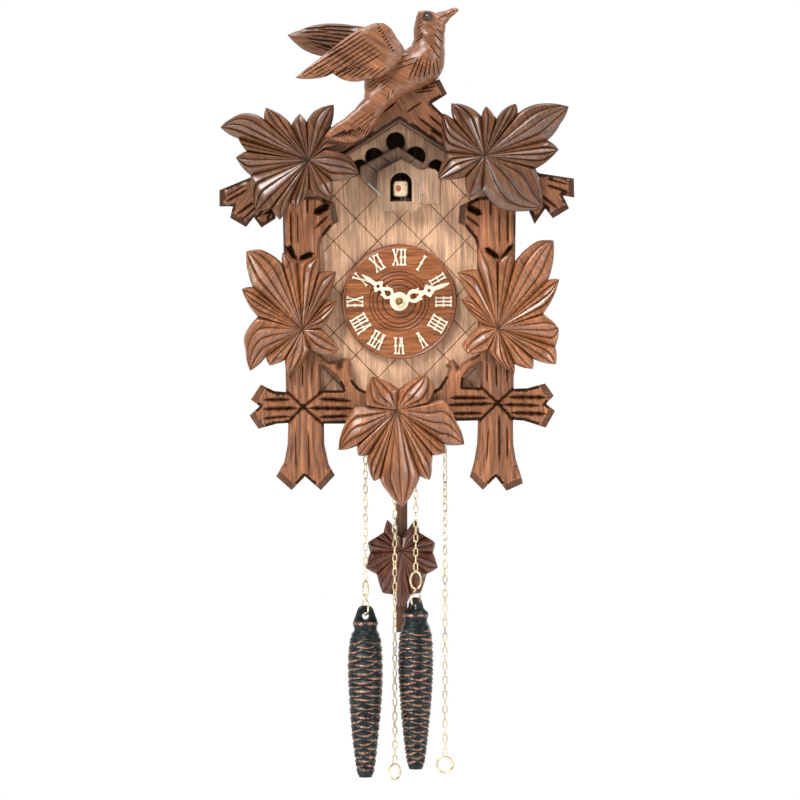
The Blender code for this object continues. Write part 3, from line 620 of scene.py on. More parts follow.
def lobe_patch(centre, left, right, index):
    """Points, heights (share of the thickness, and cut depth) and tones over one lobe."""
    inner = np.linspace(0, 1, ROWS_IN + 1)[:, None]
    centre = np.array(centre, float)
    left_side = np.concatenate([centre + (left[0] - centre) * inner,
                                resample(left, ROWS_OUT)[1:]])
    right_side = np.concatenate([centre + (right[0] - centre) * inner,
                                 resample(right, ROWS_OUT)[1:]])
    width = np.hypot(*(left_side - right_side).T).max()
    count = 1 if width < 5.5 else 2 if width < 14 else 3 if width < 20 else 4
    place, wave, tone = flute_columns(count, 0.2 * (-1) ** index).T
    spots = left_side[:, None] * (1 - place[:, None]) + right_side[:, None] * place[:, None]
    loose = (2 * np.minimum(place, 1 - place))[None, :, None]
    for _ in range(10):
        pull = (spots[:-2] + spots[2:]) / 2 - spots[1:-1]
        spots[1:-1] += 0.5 * pull * loose
    row = np.arange(len(spots))[:, None]
    inward = np.clip(row / ROWS_IN, 0, 1)
    outward = np.clip((row - ROWS_IN) / ROWS_OUT, 0, 1)
    base = 0.50 + 0.20 * inward ** 0.7 - 0.14 * outward
    crown = (0.28 * inward ** 0.6 - 0.18 * outward ** 1.5) * 4 * place * (1 - place)
    depth = np.clip(inward / 0.85, 0, 1) * (1 - 0.75 * outward ** 1.4)
    depth = depth * np.where((place > 0) & (place < 1), 1, 1 - 0.5 * outward)
    drop = depth * (1 - wave)
    # Painted shade: dark in the folds, and darker still where the flutes meet at the leaf's middle.
    shade = tone + (0.66 - tone) * np.clip(1 - depth * 1.6, 0, 0.75)
    shade = shade - 0.35 * (1 - ease(row, 0, 3))
    return spots, base + crown, drop, shade


def leaf_mesh(name, outline, centre, front, rear, material, deep=1.9, bulge=0.06):
    """A leaf whose folded flutes, cut some mm deep, run from its middle to each tip."""
    thick = rear - front
    outline = counter_clockwise(outline)
    verts, tones, faces, index_of, rim = [], [], [], {}, []

    def vertex(spot, y, tone):
        key = (round(spot[0], 4), round(spot[1], 4))
        if key not in index_of:
            index_of[key] = len(verts)
            verts.append((spot[0], y, spot[1]))
            tones.append(tone)
        return index_of[key]
    for number, (left, right) in enumerate(split_lobes(outline, bulge)):
        spots, share, drop, shade = lobe_patch(centre, left, right, number)
        y = rear - np.clip(share * thick - deep * drop, 1.0, thick - 0.02)
        shade = np.broadcast_to(shade, y.shape)
        rows, columns = y.shape
        grid = [[vertex(spots[i, j], y[i, j], shade[i, j]) for j in range(columns)]
                for i in range(rows)]
        for i in range(rows - 1):
            for j in range(columns - 1):
                corners = []
                for k in (grid[i][j], grid[i][j + 1], grid[i + 1][j + 1], grid[i + 1][j]):
                    if k not in corners:
                        corners.append(k)
                if len(corners) > 2:
                    faces.append(tuple(corners))
        rim += [grid[i][0] for i in range(ROWS_IN, rows - 1)]
        rim += [grid[i][-1] for i in range(rows - 1, ROWS_IN, -1)]
    loop = [(verts[k][0], verts[k][2]) for k in rim]
    flat, rear_faces, (rear_rim,) = triangulate([loop])
    base = len(verts)
    verts += [(x, rear, z) for x, z in flat]
    tones += [0.5] * len(flat)
    faces += [tuple(base + k for k in face) for face in rear_faces]
    for i, k in enumerate(rim):
        m = (i + 1) % len(rim)
        faces.append((k, rim[m], rear_rim[m] + base, rear_rim[i] + base))
    return new_piece(name, verts, faces, material, np.clip(tones, 0, 1), 24)


def make_leaf(node, outline, centre, material):
    """A carved leaf on the case, as thick as its CAD node."""
    front, rear = depths(node)
    piece = leaf_mesh(node + "_carving", outline, centre, front, rear, material)
    own(piece, "case", "carved_walnut", node)


TOP_LEFT_LEAF = [
    (-122.2, 118.6), (-115, 124.6), (-106.8, 128.2), (-99, 127.6), (-92.4, 124.2),
    (-91.2, 132.2), (-77.3, 124.5), (-73.7, 120.2), (-68.1, 127.9), (-63.3, 122.4),
    (-57.7, 130.1), (-44.8, 134.2), (-46.7, 119.6), (-42.3, 107.3), (-51, 104),
    (-33.5, 98.5), (-27.4, 86.3), (-45.8, 81.9), (-46.1, 71.2), (-57.1, 71.8),
    (-61.4, 76.7), (-70.9, 63.2), (-75.1, 67), (-81.7, 55.5), (-87.5, 62.9),
    (-98.2, 61.3), (-101.6, 85.9), (-111.7, 98.1), (-104.4, 102.4), (-110, 111)]
TOP_RIGHT_LEAF = [
    (115.8, 132.9), (93.5, 134.5), (81, 128.3), (79.7, 134.9), (71.3, 131),
    (66.5, 124.4), (59.3, 133.2), (56, 126.3), (47.4, 132.9), (35.6, 135.2),
    (36.9, 124.1), (30, 128.3), (29.4, 111), (32.9, 101.7), (26.4, 83.5),
    (45.2, 84.9), (47.4, 70.4), (56.7, 77), (67.2, 63.8), (82.3, 61.2),
    (98.1, 64.5), (93.2, 90.5), (109, 103.6), (101.3, 109.9), (110, 121)]
LEFT_LEAF = [
    (-105, 34.2), (-94.4, 35.4), (-80.3, 26.1), (-80.2, 33.3), (-70, 26.3),
    (-56.2, 30.2), (-55.2, 19.6), (-43.5, 20.4), (-49.7, 1), (-42.8, 0.2),
    (-53.8, -18.9), (-41.2, -32.6), (-47.6, -37.5), (-60.7, -33.3), (-75.9, -51.2),
    (-78.6, -40.2), (-89, -44.1), (-91.6, -38.2), (-102.4, -47.6), (-105.4, -33.3),
    (-106.3, -23.9), (-97.1, -10.7), (-108.1, 8.5), (-100.6, 10)]
RIGHT_LEAF = [
    (105.9, 41.7), (94.7, 41.3), (79.2, 27.2), (79, 34.2), (67.6, 27),
    (54.5, 36.1), (54.8, 21.7), (39.9, 19.9), (48.6, 3.1), (41.9, 1.8),
    (56.9, -15.5), (42.7, -30.3), (47.2, -36.1), (61, -33.3), (78.9, -49.8),
    (78.9, -43), (91.6, -46.4), (91.9, -39.5), (107.5, -43.2), (107, -31.3),
    (109.4, -18.4), (98.8, -8.6), (109.8, 15.2), (102.2, 14.8)]
BOTTOM_LEAF = [
    (-18.8, -51.4), (-0.3, -60.2), (18.4, -50.1), (24, -60.2), (20.1, -69.8),
    (30.9, -67), (39.2, -82.7), (44.7, -98.1), (30.7, -98), (31.9, -104),
    (22.7, -105.7), (22.3, -111.6), (21, -122.4), (14.2, -119.8), (10.1, -128.9),
    (2.3, -140.9), (-7.8, -131), (-13.5, -121.4), (-17.5, -123.4), (-21.4, -112.9),
    (-21.7, -105.7), (-28, -105.9), (-28.9, -99.1), (-41.8, -102.1), (-37.3, -84.3),
    (-30.5, -72.5), (-23, -72.1), (-22.9, -61.5)]


def make_leaves():
    """Five leaves, each stained and turned to its own grain."""
    upper = carved_wood("leaf_wood_upper", 20, 0.52, 0.26, 0.5)
    left = carved_wood("leaf_wood_left", -35, 1.0, 0.27, 0.45)
    right = carved_wood("leaf_wood_right", 30, 1.27, 0.27, 0.45)
    lower = carved_wood("leaf_wood_lower", 8, 1.11, 0.28, 0.4)
    make_leaf("top_left_leaf", TOP_LEFT_LEAF, (-62.0, 96.3), upper)
    make_leaf("top_right_leaf", TOP_RIGHT_LEAF, (58.6, 99.3), upper)
    make_leaf("left_leaf", LEFT_LEAF, (-66.4, -19.5), left)
    make_leaf("right_leaf", RIGHT_LEAF, (67.6, -18.8), right)
    make_leaf("bottom_leaf", BOTTOM_LEAF, (-1.7, -74.7), lower)


# ---------------------------------------------------------------- posts and branches

LEFT_POST = [
    (-80.2, 72), (-55.8, 72), (-44.3, 67.7), (-42, 54.7), (-45.2, 53.1),
    (-53.1, 43.7), (-54.5, 38), (-54, -36), (-48.3, -41.3), (-43.5, -40.6),
    (-40.8, -45.5), (-40, -41.5), (-38.5, -38.6), (-35, -38.8), (-33, -42),
    (-33.3, -49.6), (-31.3, -55.1), (-27.5, -59.5), (-22, -62), (-12, -62),
    (-12, -84), (-51.8, -84), (-51.5, -98.5), (-48.5, -112), (-44.3, -119.4),
    (-53.8, -129.7), (-64.8, -120.2), (-74, -129.7), (-84.6, -120.2), (-79, -110),
    (-76.8, -98.5), (-76.3, -83.5), (-84, -84), (-96.8, -87.5), (-102.9, -78.4),
    (-96, -72), (-102, -67.4), (-95.2, -57.1), (-86, -61.5), (-77.9, -62.2)]
LEFT_WINDOW = [(-53.8, -44.5), (-49.9, -46.5), (-43.5, -52), (-40.4, -56.7),
               (-38.8, -61), (-53.8, -61)]
RIGHT_POST = [
    (80.2, 72), (55, 72), (41.5, 65.7), (40.7, 54.2), (44.5, 52.5),
    (52, 43), (53.5, 38), (54.5, -36), (43.5, -41.7), (39.9, -46.8),
    (39, -41.5), (36.4, -39.4), (31.7, -43.7), (34.4, -45.6), (31.3, -52.7),
    (27.3, -59), (22, -62), (12, -62), (12, -82.7), (54.1, -81.8),
    (53.5, -98), (51.5, -110), (48.5, -120.4), (57.4, -129.5), (66.4, -120.6),
    (73.8, -130.1), (84.9, -125), (83.8, -120), (80.2, -108.8), (78.4, -98),
    (78.2, -81.4), (86, -82), (100.7, -86.7), (107.1, -75.2), (100.9, -70.3),
    (106.2, -64.8), (100.3, -56.3), (88, -59.6), (78.6, -59.9)]
RIGHT_WINDOW = [(55.8, -42.1), (48.6, -46.4), (44.3, -52.7), (43.9, -58.6), (55.8, -59)]
# Gouge cuts, each from a start to an end, with half its width and how blunt its ends are.
# The cross cuts are given from the middle of the cross, going out.
LEFT_CROSS_CUTS = [
    ((0, 0), (-9.9, 9.5), 0.8, 1), ((0, 0), (12.2, 9.4), 0.8, 1),
    ((0, 0), (-9.9, -10.1), 0.8, 1), ((0, 0), (12.2, -10.6), 0.8, 1),
    ((-8.2, 5.0), (-28, 4.8), 0.9, 0), ((-2.5, -0.8), (-28.5, -1.5), 1.0, 0),
    ((-8.2, -6.4), (-28, -8.1), 0.8, 0), ((10.4, 5.6), (34, 3.9), 1.0, 0),
    ((2.4, -0.8), (36, -1.2), 1.0, 0), ((10.6, -7.1), (32, -6.4), 0.9, 0)]
RIGHT_CROSS_CUTS = [
    ((0, 0), (-12.2, 11.6), 0.8, 1), ((0, 0), (9.9, 8.9), 0.8, 1),
    ((0, 0), (-11.5, -11.4), 0.8, 1), ((0, 0), (10.2, -11.2), 0.8, 1),
    ((6.4, 3.9), (35, 3.7), 1.0, 0), ((2.6, -1.2), (30, -1.9), 0.9, 0),
    ((8.0, -6.8), (35, -7.7), 1.0, 0), ((-5.5, 3.2), (-34, 3.4), 1.0, 0),
    ((-1.6, -0.5), (-36, -1.7), 1.0, 0), ((-9.3, -7.1), (-33, -7.6), 0.9, 0)]
LEFT_SHAFT_CUTS = [
    ((-59.6, 60.0), (-47.6, 67.0), 2.4, 0), ((-58.4, 50.0), (-48.4, 59.4), 1.0, 0),
    ((-79.4, 62), (-79.5, 41), 0.6, 0), ((-74.8, 64), (-74.2, 37), 0.8, 0),
    ((-70.0, 62), (-69.8, 39), 0.55, 0), ((-63.3, 72), (-63.1, 60), 0.8, 0),
    ((-78.8, 38.6), (-69.6, 27.2), 1.5, 0), ((-69.4, 28.2), (-58.6, 33.4), 1.9, 0),
    ((-75.6, 39), (-72.0, 33), 1.1, 0), ((-75.0, -40), (-75.0, -55), 0.5, 0),
    ((-66.5, -42), (-66.4, -60), 0.6, 0), ((-60.0, -40), (-60.2, -58), 0.5, 0),
    ((-71.3, -88), (-70.8, -116), 0.55, 0), ((-62.4, -88), (-61.8, -118), 0.6, 0)]
RIGHT_SHAFT_CUTS = [
    ((57.4, 59.6), (46.0, 65.6), 2.2, 0), ((55.8, 51.0), (45.8, 59.2), 1.1, 0),
    ((78.9, 62), (79.0, 43), 0.6, 0), ((74.4, 64), (74.6, 38), 0.8, 0),
    ((68.6, 63), (68.8, 37), 0.6, 0), ((62.8, 72), (62.6, 58), 0.8, 0),
    ((78.6, 40.0), (69.8, 28.0), 1.5, 0), ((69.2, 28.6), (58.4, 37.0), 1.8, 0),
    ((73.8, -42), (74.0, -57), 0.5, 0), ((66.8, -42), (67.0, -60), 0.7, 0),
    ((60.2, -42), (60.4, -56), 0.5, 0), ((68.5, -76), (68.7, -112), 0.9, 0),
    ((73.9, -84), (74.2, -110), 0.6, 0), ((61.4, -86), (60.0, -112), 0.5, 0)]


def sawn_ends(points, ends, drop, tone, wide, slope, shade):
    """Ends sawn off at a slant, dark with a rubbed bright edge, added to a face."""
    for segment in ends:
        near = distance(points, segment)
        drop = np.maximum(drop, (wide - near) * slope)
        tone = np.where(near < wide, shade, tone)
        tone = np.where((near >= wide) & (near < wide + 0.5), 0.97, tone)
    return drop, tone


def post_face(side, cross, ends, cuts, front, rear):
    """A post of shallow flutes with a crossing arm, gouge cuts and bevelled ends."""
    cx, cz = cross

    def face(points, edge):
        x, z = points.T
        half = 12.3 + 8.5 * ease(-98 - z, 0, 26)
        across = (x - cx) / half
        rough = ripple(np.column_stack([x, z * 0.22]), 3.1, side)
        flutes = 0.5 + 0.5 * np.cos(2 * np.pi * 2.5 * (across + 0.03 * rough))
        arm_reach = np.maximum(np.abs(x - cx) - 10.5, 0)
        on_arm = (np.abs(x - cx) > np.abs(z - cz)) & (np.abs(z - cz) < 16 + 0.1 * arm_reach)
        brace = (side * (x - cx) < -13) & ~on_arm
        plain = on_arm | brace
        drop = np.where(plain, 0.1 + 0.1 * rough, 0.75 * (1 - flutes) + 0.1 * rough)
        # Painted light on the upper shaft, where the leaf above shades it, and darker low down; the
        # flutes have painted shade in their hollows.
        wear_and_light = 0.36 * ease(z, 15, 40) - 0.22 * ease(-20 - z, 0, 20)
        flat_tone = np.where(on_arm, 0.50, 0.66)
        tone = np.where(plain, flat_tone, 0.56 + wear_and_light + 0.33 * flutes) + 0.05 * rough
        bevel = 2.3
        dark_rim = on_arm | (brace & (z > -20)) | ((z < -112) & (np.abs(x - cx) < 12.5))
        drop = np.maximum(drop, (bevel - edge) * 1.3)
        rim_tone = np.where(dark_rim, 0.02, 0.40)
        tone = np.where(edge < bevel, rim_tone, tone)
        tone = np.where((edge >= bevel) & (edge < bevel + 0.45), 0.93, tone)
        drop, tone = sawn_ends(points, ends, drop, tone, 4.6, 0.8, 0.20)
        deep, tone = gouged(points, cuts, tone, 0.10)
        drop += 1.3 * deep
        return front + np.clip(drop, 0.02, rear - front - 2.2), np.clip(tone, 0, 1)
    return face


def make_posts():
    """Both posts. Each has its own outline, window, crossing arm and cuts."""
    wood = carved_wood("post_wood", 3, 1.24, 0.40, 0.1)
    left_ends = [[(-84.6, -120.2), (-74, -129.7)], [(-53.8, -129.7), (-44.3, -119.4)],
                 [(-96.8, -87.5), (-102.9, -78.4)], [(-102, -67.4), (-95.2, -57.1)],
                 [(-44.3, 67.7), (-42, 54.7)]]
    right_ends = [[(48.5, -120.4), (57.4, -129.5)], [(73.8, -130.1), (84.9, -125)],
                  [(100.7, -86.7), (107.1, -75.2)], [(106.2, -64.8), (100.3, -56.3)],
                  [(41.5, 65.7), (40.7, 54.2)]]
    for name, side, post, window, cross, ends, crossing, shaft in (
            ("left_post", -1, LEFT_POST, LEFT_WINDOW, (-66.1, -72.5), left_ends,
             LEFT_CROSS_CUTS, LEFT_SHAFT_CUTS),
            ("right_post", 1, RIGHT_POST, RIGHT_WINDOW, (67.6, -69.7), right_ends,
             RIGHT_CROSS_CUTS, RIGHT_SHAFT_CUTS)):
        front, rear = depths(name)
        loops = [bowed(post, 0, 1.0), bowed(window, 0, 1.0)]
        cuts = widened(crossing, 2.0, cross) + widened(shaft, 1.35)
        piece = carve(name + "_carving", loops, 0.72,
                      post_face(side, cross, ends, cuts, front, rear), rear, wood, cuts, 28)
        own(piece, "case", "carved_walnut", name)


RIGHT_BRANCH = [
    (-20.4, 111.2), (0, 124.6), (86, 68.6), (92.8, 52.9), (100.2, 63.6), (105.3, 56.9),
    (116.2, 63.5), (111.9, 72.5), (119.8, 71.1), (119.5, 83.9), (96, 87.5),
    (33, 124.8), (22.1, 135.4), (32.7, 142), (27.6, 152), (10, 146), (0, 143),
    (-14, 137), (-20.4, 133)]
LEFT_BRANCH = [
    (-20.7, 111.0), (-20.7, 132.8), (-33, 125), (-96, 87),
    (-123.1, 76), (-123.1, 65), (-113.9, 65), (-115.7, 57), (-105, 50.9),
    (-99.8, 57.6), (-94.5, 50.5), (-84.8, 56.7), (-86, 68.6)]


LEFT_BRANCH_CUTS = [
    ((-119.0, 67.5), (-103, 76.5), 1.1, 0), ((-118.5, 71.5), (-104, 80.0), 0.7, 0),
    ((-112.0, 58.5), (-98, 68.5), 1.1, 0), ((-108.0, 55.0), (-96, 66.0), 0.8, 0),
    ((-98.0, 56.5), (-90, 66.0), 0.9, 0), ((-91.0, 55.5), (-85, 65.0), 0.8, 0)]
RIGHT_BRANCH_CUTS = [
    ((116.0, 74.5), (100, 79.5), 1.1, 0), ((116.0, 79.5), (100, 84.0), 0.8, 0),
    ((109.0, 63.0), (96, 73.0), 1.1, 0), ((103.0, 62.0), (94, 71.0), 0.8, 0),
    ((92.6, 58.0), (88, 68.0), 0.9, 0), ((12.0, 126.0), (33, 111.0), 0.9, 0),
    ((20.0, 127.5), (32, 117.0), 0.9, 0), ((8.0, 122.5), (27, 108.0), 0.7, 0),
    ((14.0, 144.5), (26, 147.5), 0.6, 0), ((10.0, 142.5), (24, 144.5), 0.6, 0),
    ((4.0, 128.5), (16, 136.5), 0.7, 0), ((-12.0, 128.5), (-2, 136.5), 0.7, 0)]


def slope_cuts(side):
    """Long gouge cuts down the roof's slope, staggered like bricks."""
    cuts = []
    for row in range(5):
        for k in range(3):
            x = side * (20 + 24 * k + 9 * (row % 2))
            z = 7 + roof_at(x) - 4.3 * row
            cuts.append(((x, z), (x + side * 17, z - ROOF_SLOPE * 17), 0.85, 0))
    return cuts


def branch_face(ends, cuts, front, rear):
    """Bark cut in long gouges that follow the roof's slope, with sawn ends."""
    def face(points, edge):
        rough = ripple(points, 6.0, 2.0)
        drop = np.maximum(0.35 + 0.3 * rough, (2.4 - edge) * 0.9)
        tone = np.where(edge < 2.4, 0.08, 0.70 + 0.08 * rough)
        tone = np.where((edge >= 2.4) & (edge < 2.9), 0.9, tone)
        drop, tone = sawn_ends(points, ends, drop, tone, 4.0, 0.75, 0.14)
        deep, tone = gouged(points, cuts, tone, 0.12)
        drop += 1.3 * deep
        return front + np.clip(drop, 0.02, rear - front - 3), np.clip(tone, 0, 1)
    return face


def make_branches():
    """The two boughs that follow the roof's slope. The bird stands on the right one."""
    wood = carved_wood("branch_wood", -32, 0.72, 0.36, 0.2)
    right_wood = carved_wood("branch_wood_right", 32, 0.80, 0.36, 0.2)
    left_ends = [[(-123.1, 76), (-123.1, 65)], [(-115.7, 57), (-105, 50.9)]]
    right_ends = [[(119.8, 71.1), (119.5, 83.9)], [(105.3, 56.9), (116.2, 63.5)],
                  [(32.7, 142), (27.6, 152)]]
    for name, side, loop, ends, cuts, finish in (
            ("left_branch", -1, LEFT_BRANCH, left_ends, LEFT_BRANCH_CUTS, wood),
            ("right_branch", 1, RIGHT_BRANCH, right_ends, RIGHT_BRANCH_CUTS, right_wood)):
        front, rear = depths(name)
        cuts = widened(cuts + slope_cuts(side), 1.35)
        piece = carve(name + "_carving", [bowed(loop, 0, 1.2)], 0.95,
                      branch_face(ends, cuts, front, rear), rear, finish, cuts, 28)
        own(piece, "case", "carved_walnut", name)


# ---------------------------------------------------------------- bird

BIRD = [
    (-24, 149.5), (-23.6, 142.9), (-24, 138.3), (-30, 131), (-37.3, 124.4), (-45.6, 118.9),
    (-51.1, 112), (-46, 109.5), (-41, 108.3), (-30, 108.3), (-19.9, 114.3),
    (-16.5, 119.5), (-13.4, 126.2), (-7.8, 133.7), (3, 141), (14.2, 145.6),
    (26.5, 152.3), (30.3, 159.4), (31.4, 167), (31.1, 175), (31.2, 183), (31.9, 189.6),
    (35, 193.8), (40.9, 199.2), (39.6, 200.6), (37.3, 200.9), (31.5, 198.7),
    (24.8, 197.2), (22.6, 198.7), (19.7, 199.1), (15.8, 198.9), (12.9, 198.1),
    (11, 192), (9.8, 185.2), (10.1, 179.8), (8.4, 175), (5, 172.3), (-1, 174),
    (-8, 180), (-16, 172), (-24, 160)]
BIRD_DEPTH = [
    # x, z, middle y, half thickness
    (-48, 112, -132.9, 1.8), (-35, 112, -133.3, 2.0), (-25, 125, -132.6, 2.8),
    (-14, 137, -128.9, 6.0), (5, 148, -121.5, 10.0), (15, 155, -118.5, 12.8),
    (18, 168, -118, 13.6), (-5, 165, -119, 12.0), (-20, 152, -123, 8.0),
    (20, 180, -118, 10.5), (20, 188, -118, 8.8), (18, 194, -118, 8.6),
    (26, 194, -118, 5.4), (33, 197, -118, 2.6), (40, 200, -118, 1.0)]


def field(points, controls):
    """Values between control points, weighted by nearness."""
    controls = np.array(controls, float)
    gap = np.hypot(points[:, :1] - controls[:, 0], points[:, 1:] - controls[:, 1])
    weight = 1 / (gap + 0.8) ** 3.2
    return (weight @ controls[:, 2:]) / weight.sum(1)[:, None]


def branch_top(x):
    """Height of the bough that the bird stands on."""
    return np.interp(x, [-33, -14, 0, 10, 27.6], [125, 137, 143, 146, 152])


def fan_of_cuts(first, last, count, reach, half, turn=(0, 0)):
    """Gouge cuts that start along a line, all reaching one way, which may turn as they go."""
    cuts = []
    for i in range(count):
        t = i / max(count - 1, 1)
        x = first[0] + (last[0] - first[0]) * t
        z = first[1] + (last[1] - first[1]) * t
        stretch = 1 + 0.16 * math.sin(i * 2.3)
        cuts.append(((x, z), (x + (reach[0] + turn[0] * t) * stretch,
                              z + (reach[1] + turn[1] * t) * stretch), half, 0))
    return cuts


def bird_cuts():
    """Breast, throat, nape, back, flank and tail feathers."""
    return (fan_of_cuts((5.8, 150), (27.5, 153.5), 7, (7.5, 17), 0.75, (-9.5, -6))
            + fan_of_cuts((31.0, 181.0), (28.5, 164.5), 4, (-5.5, 5.5), 0.7, (-2, 5))
            + fan_of_cuts((11.2, 196.0), (11.6, 177.0), 8, (4.6, 3.8), 0.5)
            + fan_of_cuts((-9.0, 163.0), (-3.0, 158.0), 3, (17, 5.6), 0.6)
            + fan_of_cuts((-23.0, 152.5), (-21.5, 142.5), 5, (7.5, 5.2), 0.6)
            + fan_of_cuts((-15.5, 153.0), (-12.5, 143.5), 5, (6.0, 4.2), 0.5)
            + fan_of_cuts((-8.4, 136.5), (-5.6, 138.5), 2, (1.8, 6), 0.6)
            + fan_of_cuts((-47.5, 110.6), (-21.5, 112.0), 12, (9.0, 5.4), 0.7, (-4.5, 4.0))
            + fan_of_cuts((-34.0, 119.0), (-26.5, 118.0), 3, (13, 9.5), 0.6)
            + [((25.2, 192.2), (39.4, 199.6), 0.55, 0), ((10.4, 176), (17.0, 183), 0.6, 0)])


def bird_surface(sign):
    """The front (sign -1) or back (sign 1) skin of the bird's body."""
    cuts = bird_cuts()

    def face(points, edge):
        middle, half = field(points, BIRD_DEPTH).T
        round_off = np.sqrt(1 - (1 - np.clip(edge / (half * 0.95 + 0.6), 0, 1)) ** 2)
        deep, tone = gouged(points, cuts, 0.70 + 0.10 * round_off, 0.22, 0.04, 1.4)
        y = middle + sign * (half * (0.10 + 0.90 * round_off) - 1.1 * deep)
        if sign > 0:
            rest = branch_top(points[:, 0])
            free = ease(points[:, 1], rest + 0.4, rest + 5)
            y = np.minimum(y, -122 + free * 30)
        return y, np.clip(tone, 0, 1)
    return face


NEAR_WING = [
    (-10.7, 189.3), (-15.5, 189.4), (-20.8, 188), (-33, 181.5), (-46, 171.5), (-58, 162.5),
    (-71, 152), (-63, 151.2), (-54.8, 152), (-50, 153), (-45.6, 155.2), (-39, 151),
    (-33.6, 149.6), (-27.7, 149.6), (-22, 151), (-12, 153.5), (-3, 160), (1.5, 166),
    (3.2, 172.8), (-1.5, 179), (-5.5, 185.5)]
FAR_WING = [
    (-76.9, 183.2), (-73, 179), (-66.8, 173.7), (-60, 170.4), (-53.4, 168.6), (-40, 166),
    (-25, 162), (-6, 168), (-8, 182), (-21.2, 187.8), (-32, 189.8), (-42.8, 190.9),
    (-50.5, 191), (-58.5, 189.8), (-68, 186.6)]


NEAR_WING_CUTS = (
    fan_of_cuts((-25.0, 184.5), (-10.5, 169.0), 8, (-25, -17), 0.75, (3, 4))
    + fan_of_cuts((-38.0, 173.5), (-27.0, 160.5), 6, (-20, -13.5), 0.7, (5, 5))
    + fan_of_cuts((-54.0, 163.0), (-43.0, 157.0), 5, (-13, -9.0), 0.65, (3, 4))
    + fan_of_cuts((-34.0, 159.0), (-8.0, 159.5), 7, (-11, -6.5), 0.7, (1, -1))
    + fan_of_cuts((-12.6, 187.0), (-3.0, 171.5), 9, (-2.6, -2.0), 0.75))
FAR_WING_CUTS = (
    fan_of_cuts((-27.0, 188.0), (-28.0, 165.5), 8, (-27, 1.2), 0.85, (4, 6))
    + fan_of_cuts((-48.0, 188.6), (-44.0, 171.0), 6, (-19, -1.5), 0.75, (2, 7)))


def wing_face(root, cuts, front, thin, sink, shoulder=0.0):
    """A wing that thins to its tips and joins the body, with long feather cuts."""
    def face(points, edge):
        x, z = points.T
        reach = np.hypot(x - root[0], z - root[1])
        crown = 1 - np.exp(-edge / 2.2)
        high_part = 1.7 * crown + thin * (1 - ease(reach, 10, 66) * 0.7)
        deep, tone = gouged(points, cuts, 0.62 + 0.14 * crown, 0.22, 0.04, 1.4)
        y = front + 4.9 - high_part + 1.1 * deep
        y += sink * ease(x, -12, 3) * ease(188 - z, 0, 14) + 0.2 * ripple(points, 9.0, thin)
        y -= shoulder * (1 - ease(reach, 8, 34))
        return y, np.clip(tone, 0, 1)
    return face


def make_bird():
    """The body, carved on both sides, and the two wings."""
    body = carve("bird_body_carving", [bowed(BIRD, 0.03, 1.1)], 0.85,
                 bird_surface(-1), bird_surface(1),
                 carved_wood("bird_wood", 62, 0.87, 0.34, 0.2), bird_cuts(), 28)
    own(body, "case", "carved_walnut", "top_bird")
    near_front, near_rear = depths("bird_near_wing")
    far_front, far_rear = depths("bird_far_wing")

    def near_back(points, edge):
        reach = np.hypot(points[:, 0] + 4, points[:, 1] - 172)
        return near_rear - 2.6 + 8.5 * (1 - ease(reach, 6, 40)), np.full(len(points), 0.4)

    def far_back(points, edge):
        reach = np.hypot(points[:, 0] + 2, points[:, 1] - 176)
        y = far_rear - 10.5 * (1 - ease(reach, 8, 34)) - 1.2 * groove(edge, 2) ** 2
        return y, np.full(len(points), 0.55)
    near = carve("bird_near_wing_carving", [bowed(NEAR_WING, 0.02, 1.1)], 0.85,
                 wing_face((-4, 176), NEAR_WING_CUTS, near_front, 2.6, 4.5),
                 near_back, carved_wood("bird_wing_wood", 57, 0.95, 0.4, 0.1),
                 NEAR_WING_CUTS, 28)
    own(near, "case", "carved_walnut", "bird_near_wing")
    # The far wing takes a darker copy of the bird's wood: painted shade, for the shadow it sits in
    # behind the near wing.
    far = carve("bird_far_wing_carving", [bowed(FAR_WING, 0.02, 1.1)], 0.85,
                wing_face((-2, 176), FAR_WING_CUTS, far_front, 2.4, 0, 12.5),
                far_back, carved_wood("bird_wood_far_shaded", 85, 0.56, 0.36, 0.2),
                FAR_WING_CUTS, 28)
    own(far, "case", "carved_walnut", "bird_far_wing")


def make_bird_eye():
    """A bead in a turned rim, on the side of the head that faces the front."""
    bead = make_paint("eye_bead", (0.02, 0.006, 0.005), (0.05, 0.012, 0.01), 0.06, 300,
                      0.00002, 1.0)
    lathe("bird_eye", [(0, 2.3), (1.1, 2.1), (1.8, 1.5), (2.1, 0.6), (2.1, 0)],
          (19.3, -125.3, 194.4), bead, "case", "carved_walnut", steps=32)
    lathe("bird_eye_rim", [(2.1, 0.9), (3.0, 1.1), (3.8, 0.2), (3.2, -0.8), (2.1, -0.8)],
          (19.3, -125.6, 194.4), carved_wood("eye_rim_wood", 0, 0.22), "case",
          "carved_walnut", steps=32, ring=True)


# ---------------------------------------------------------------- turned and bent pieces

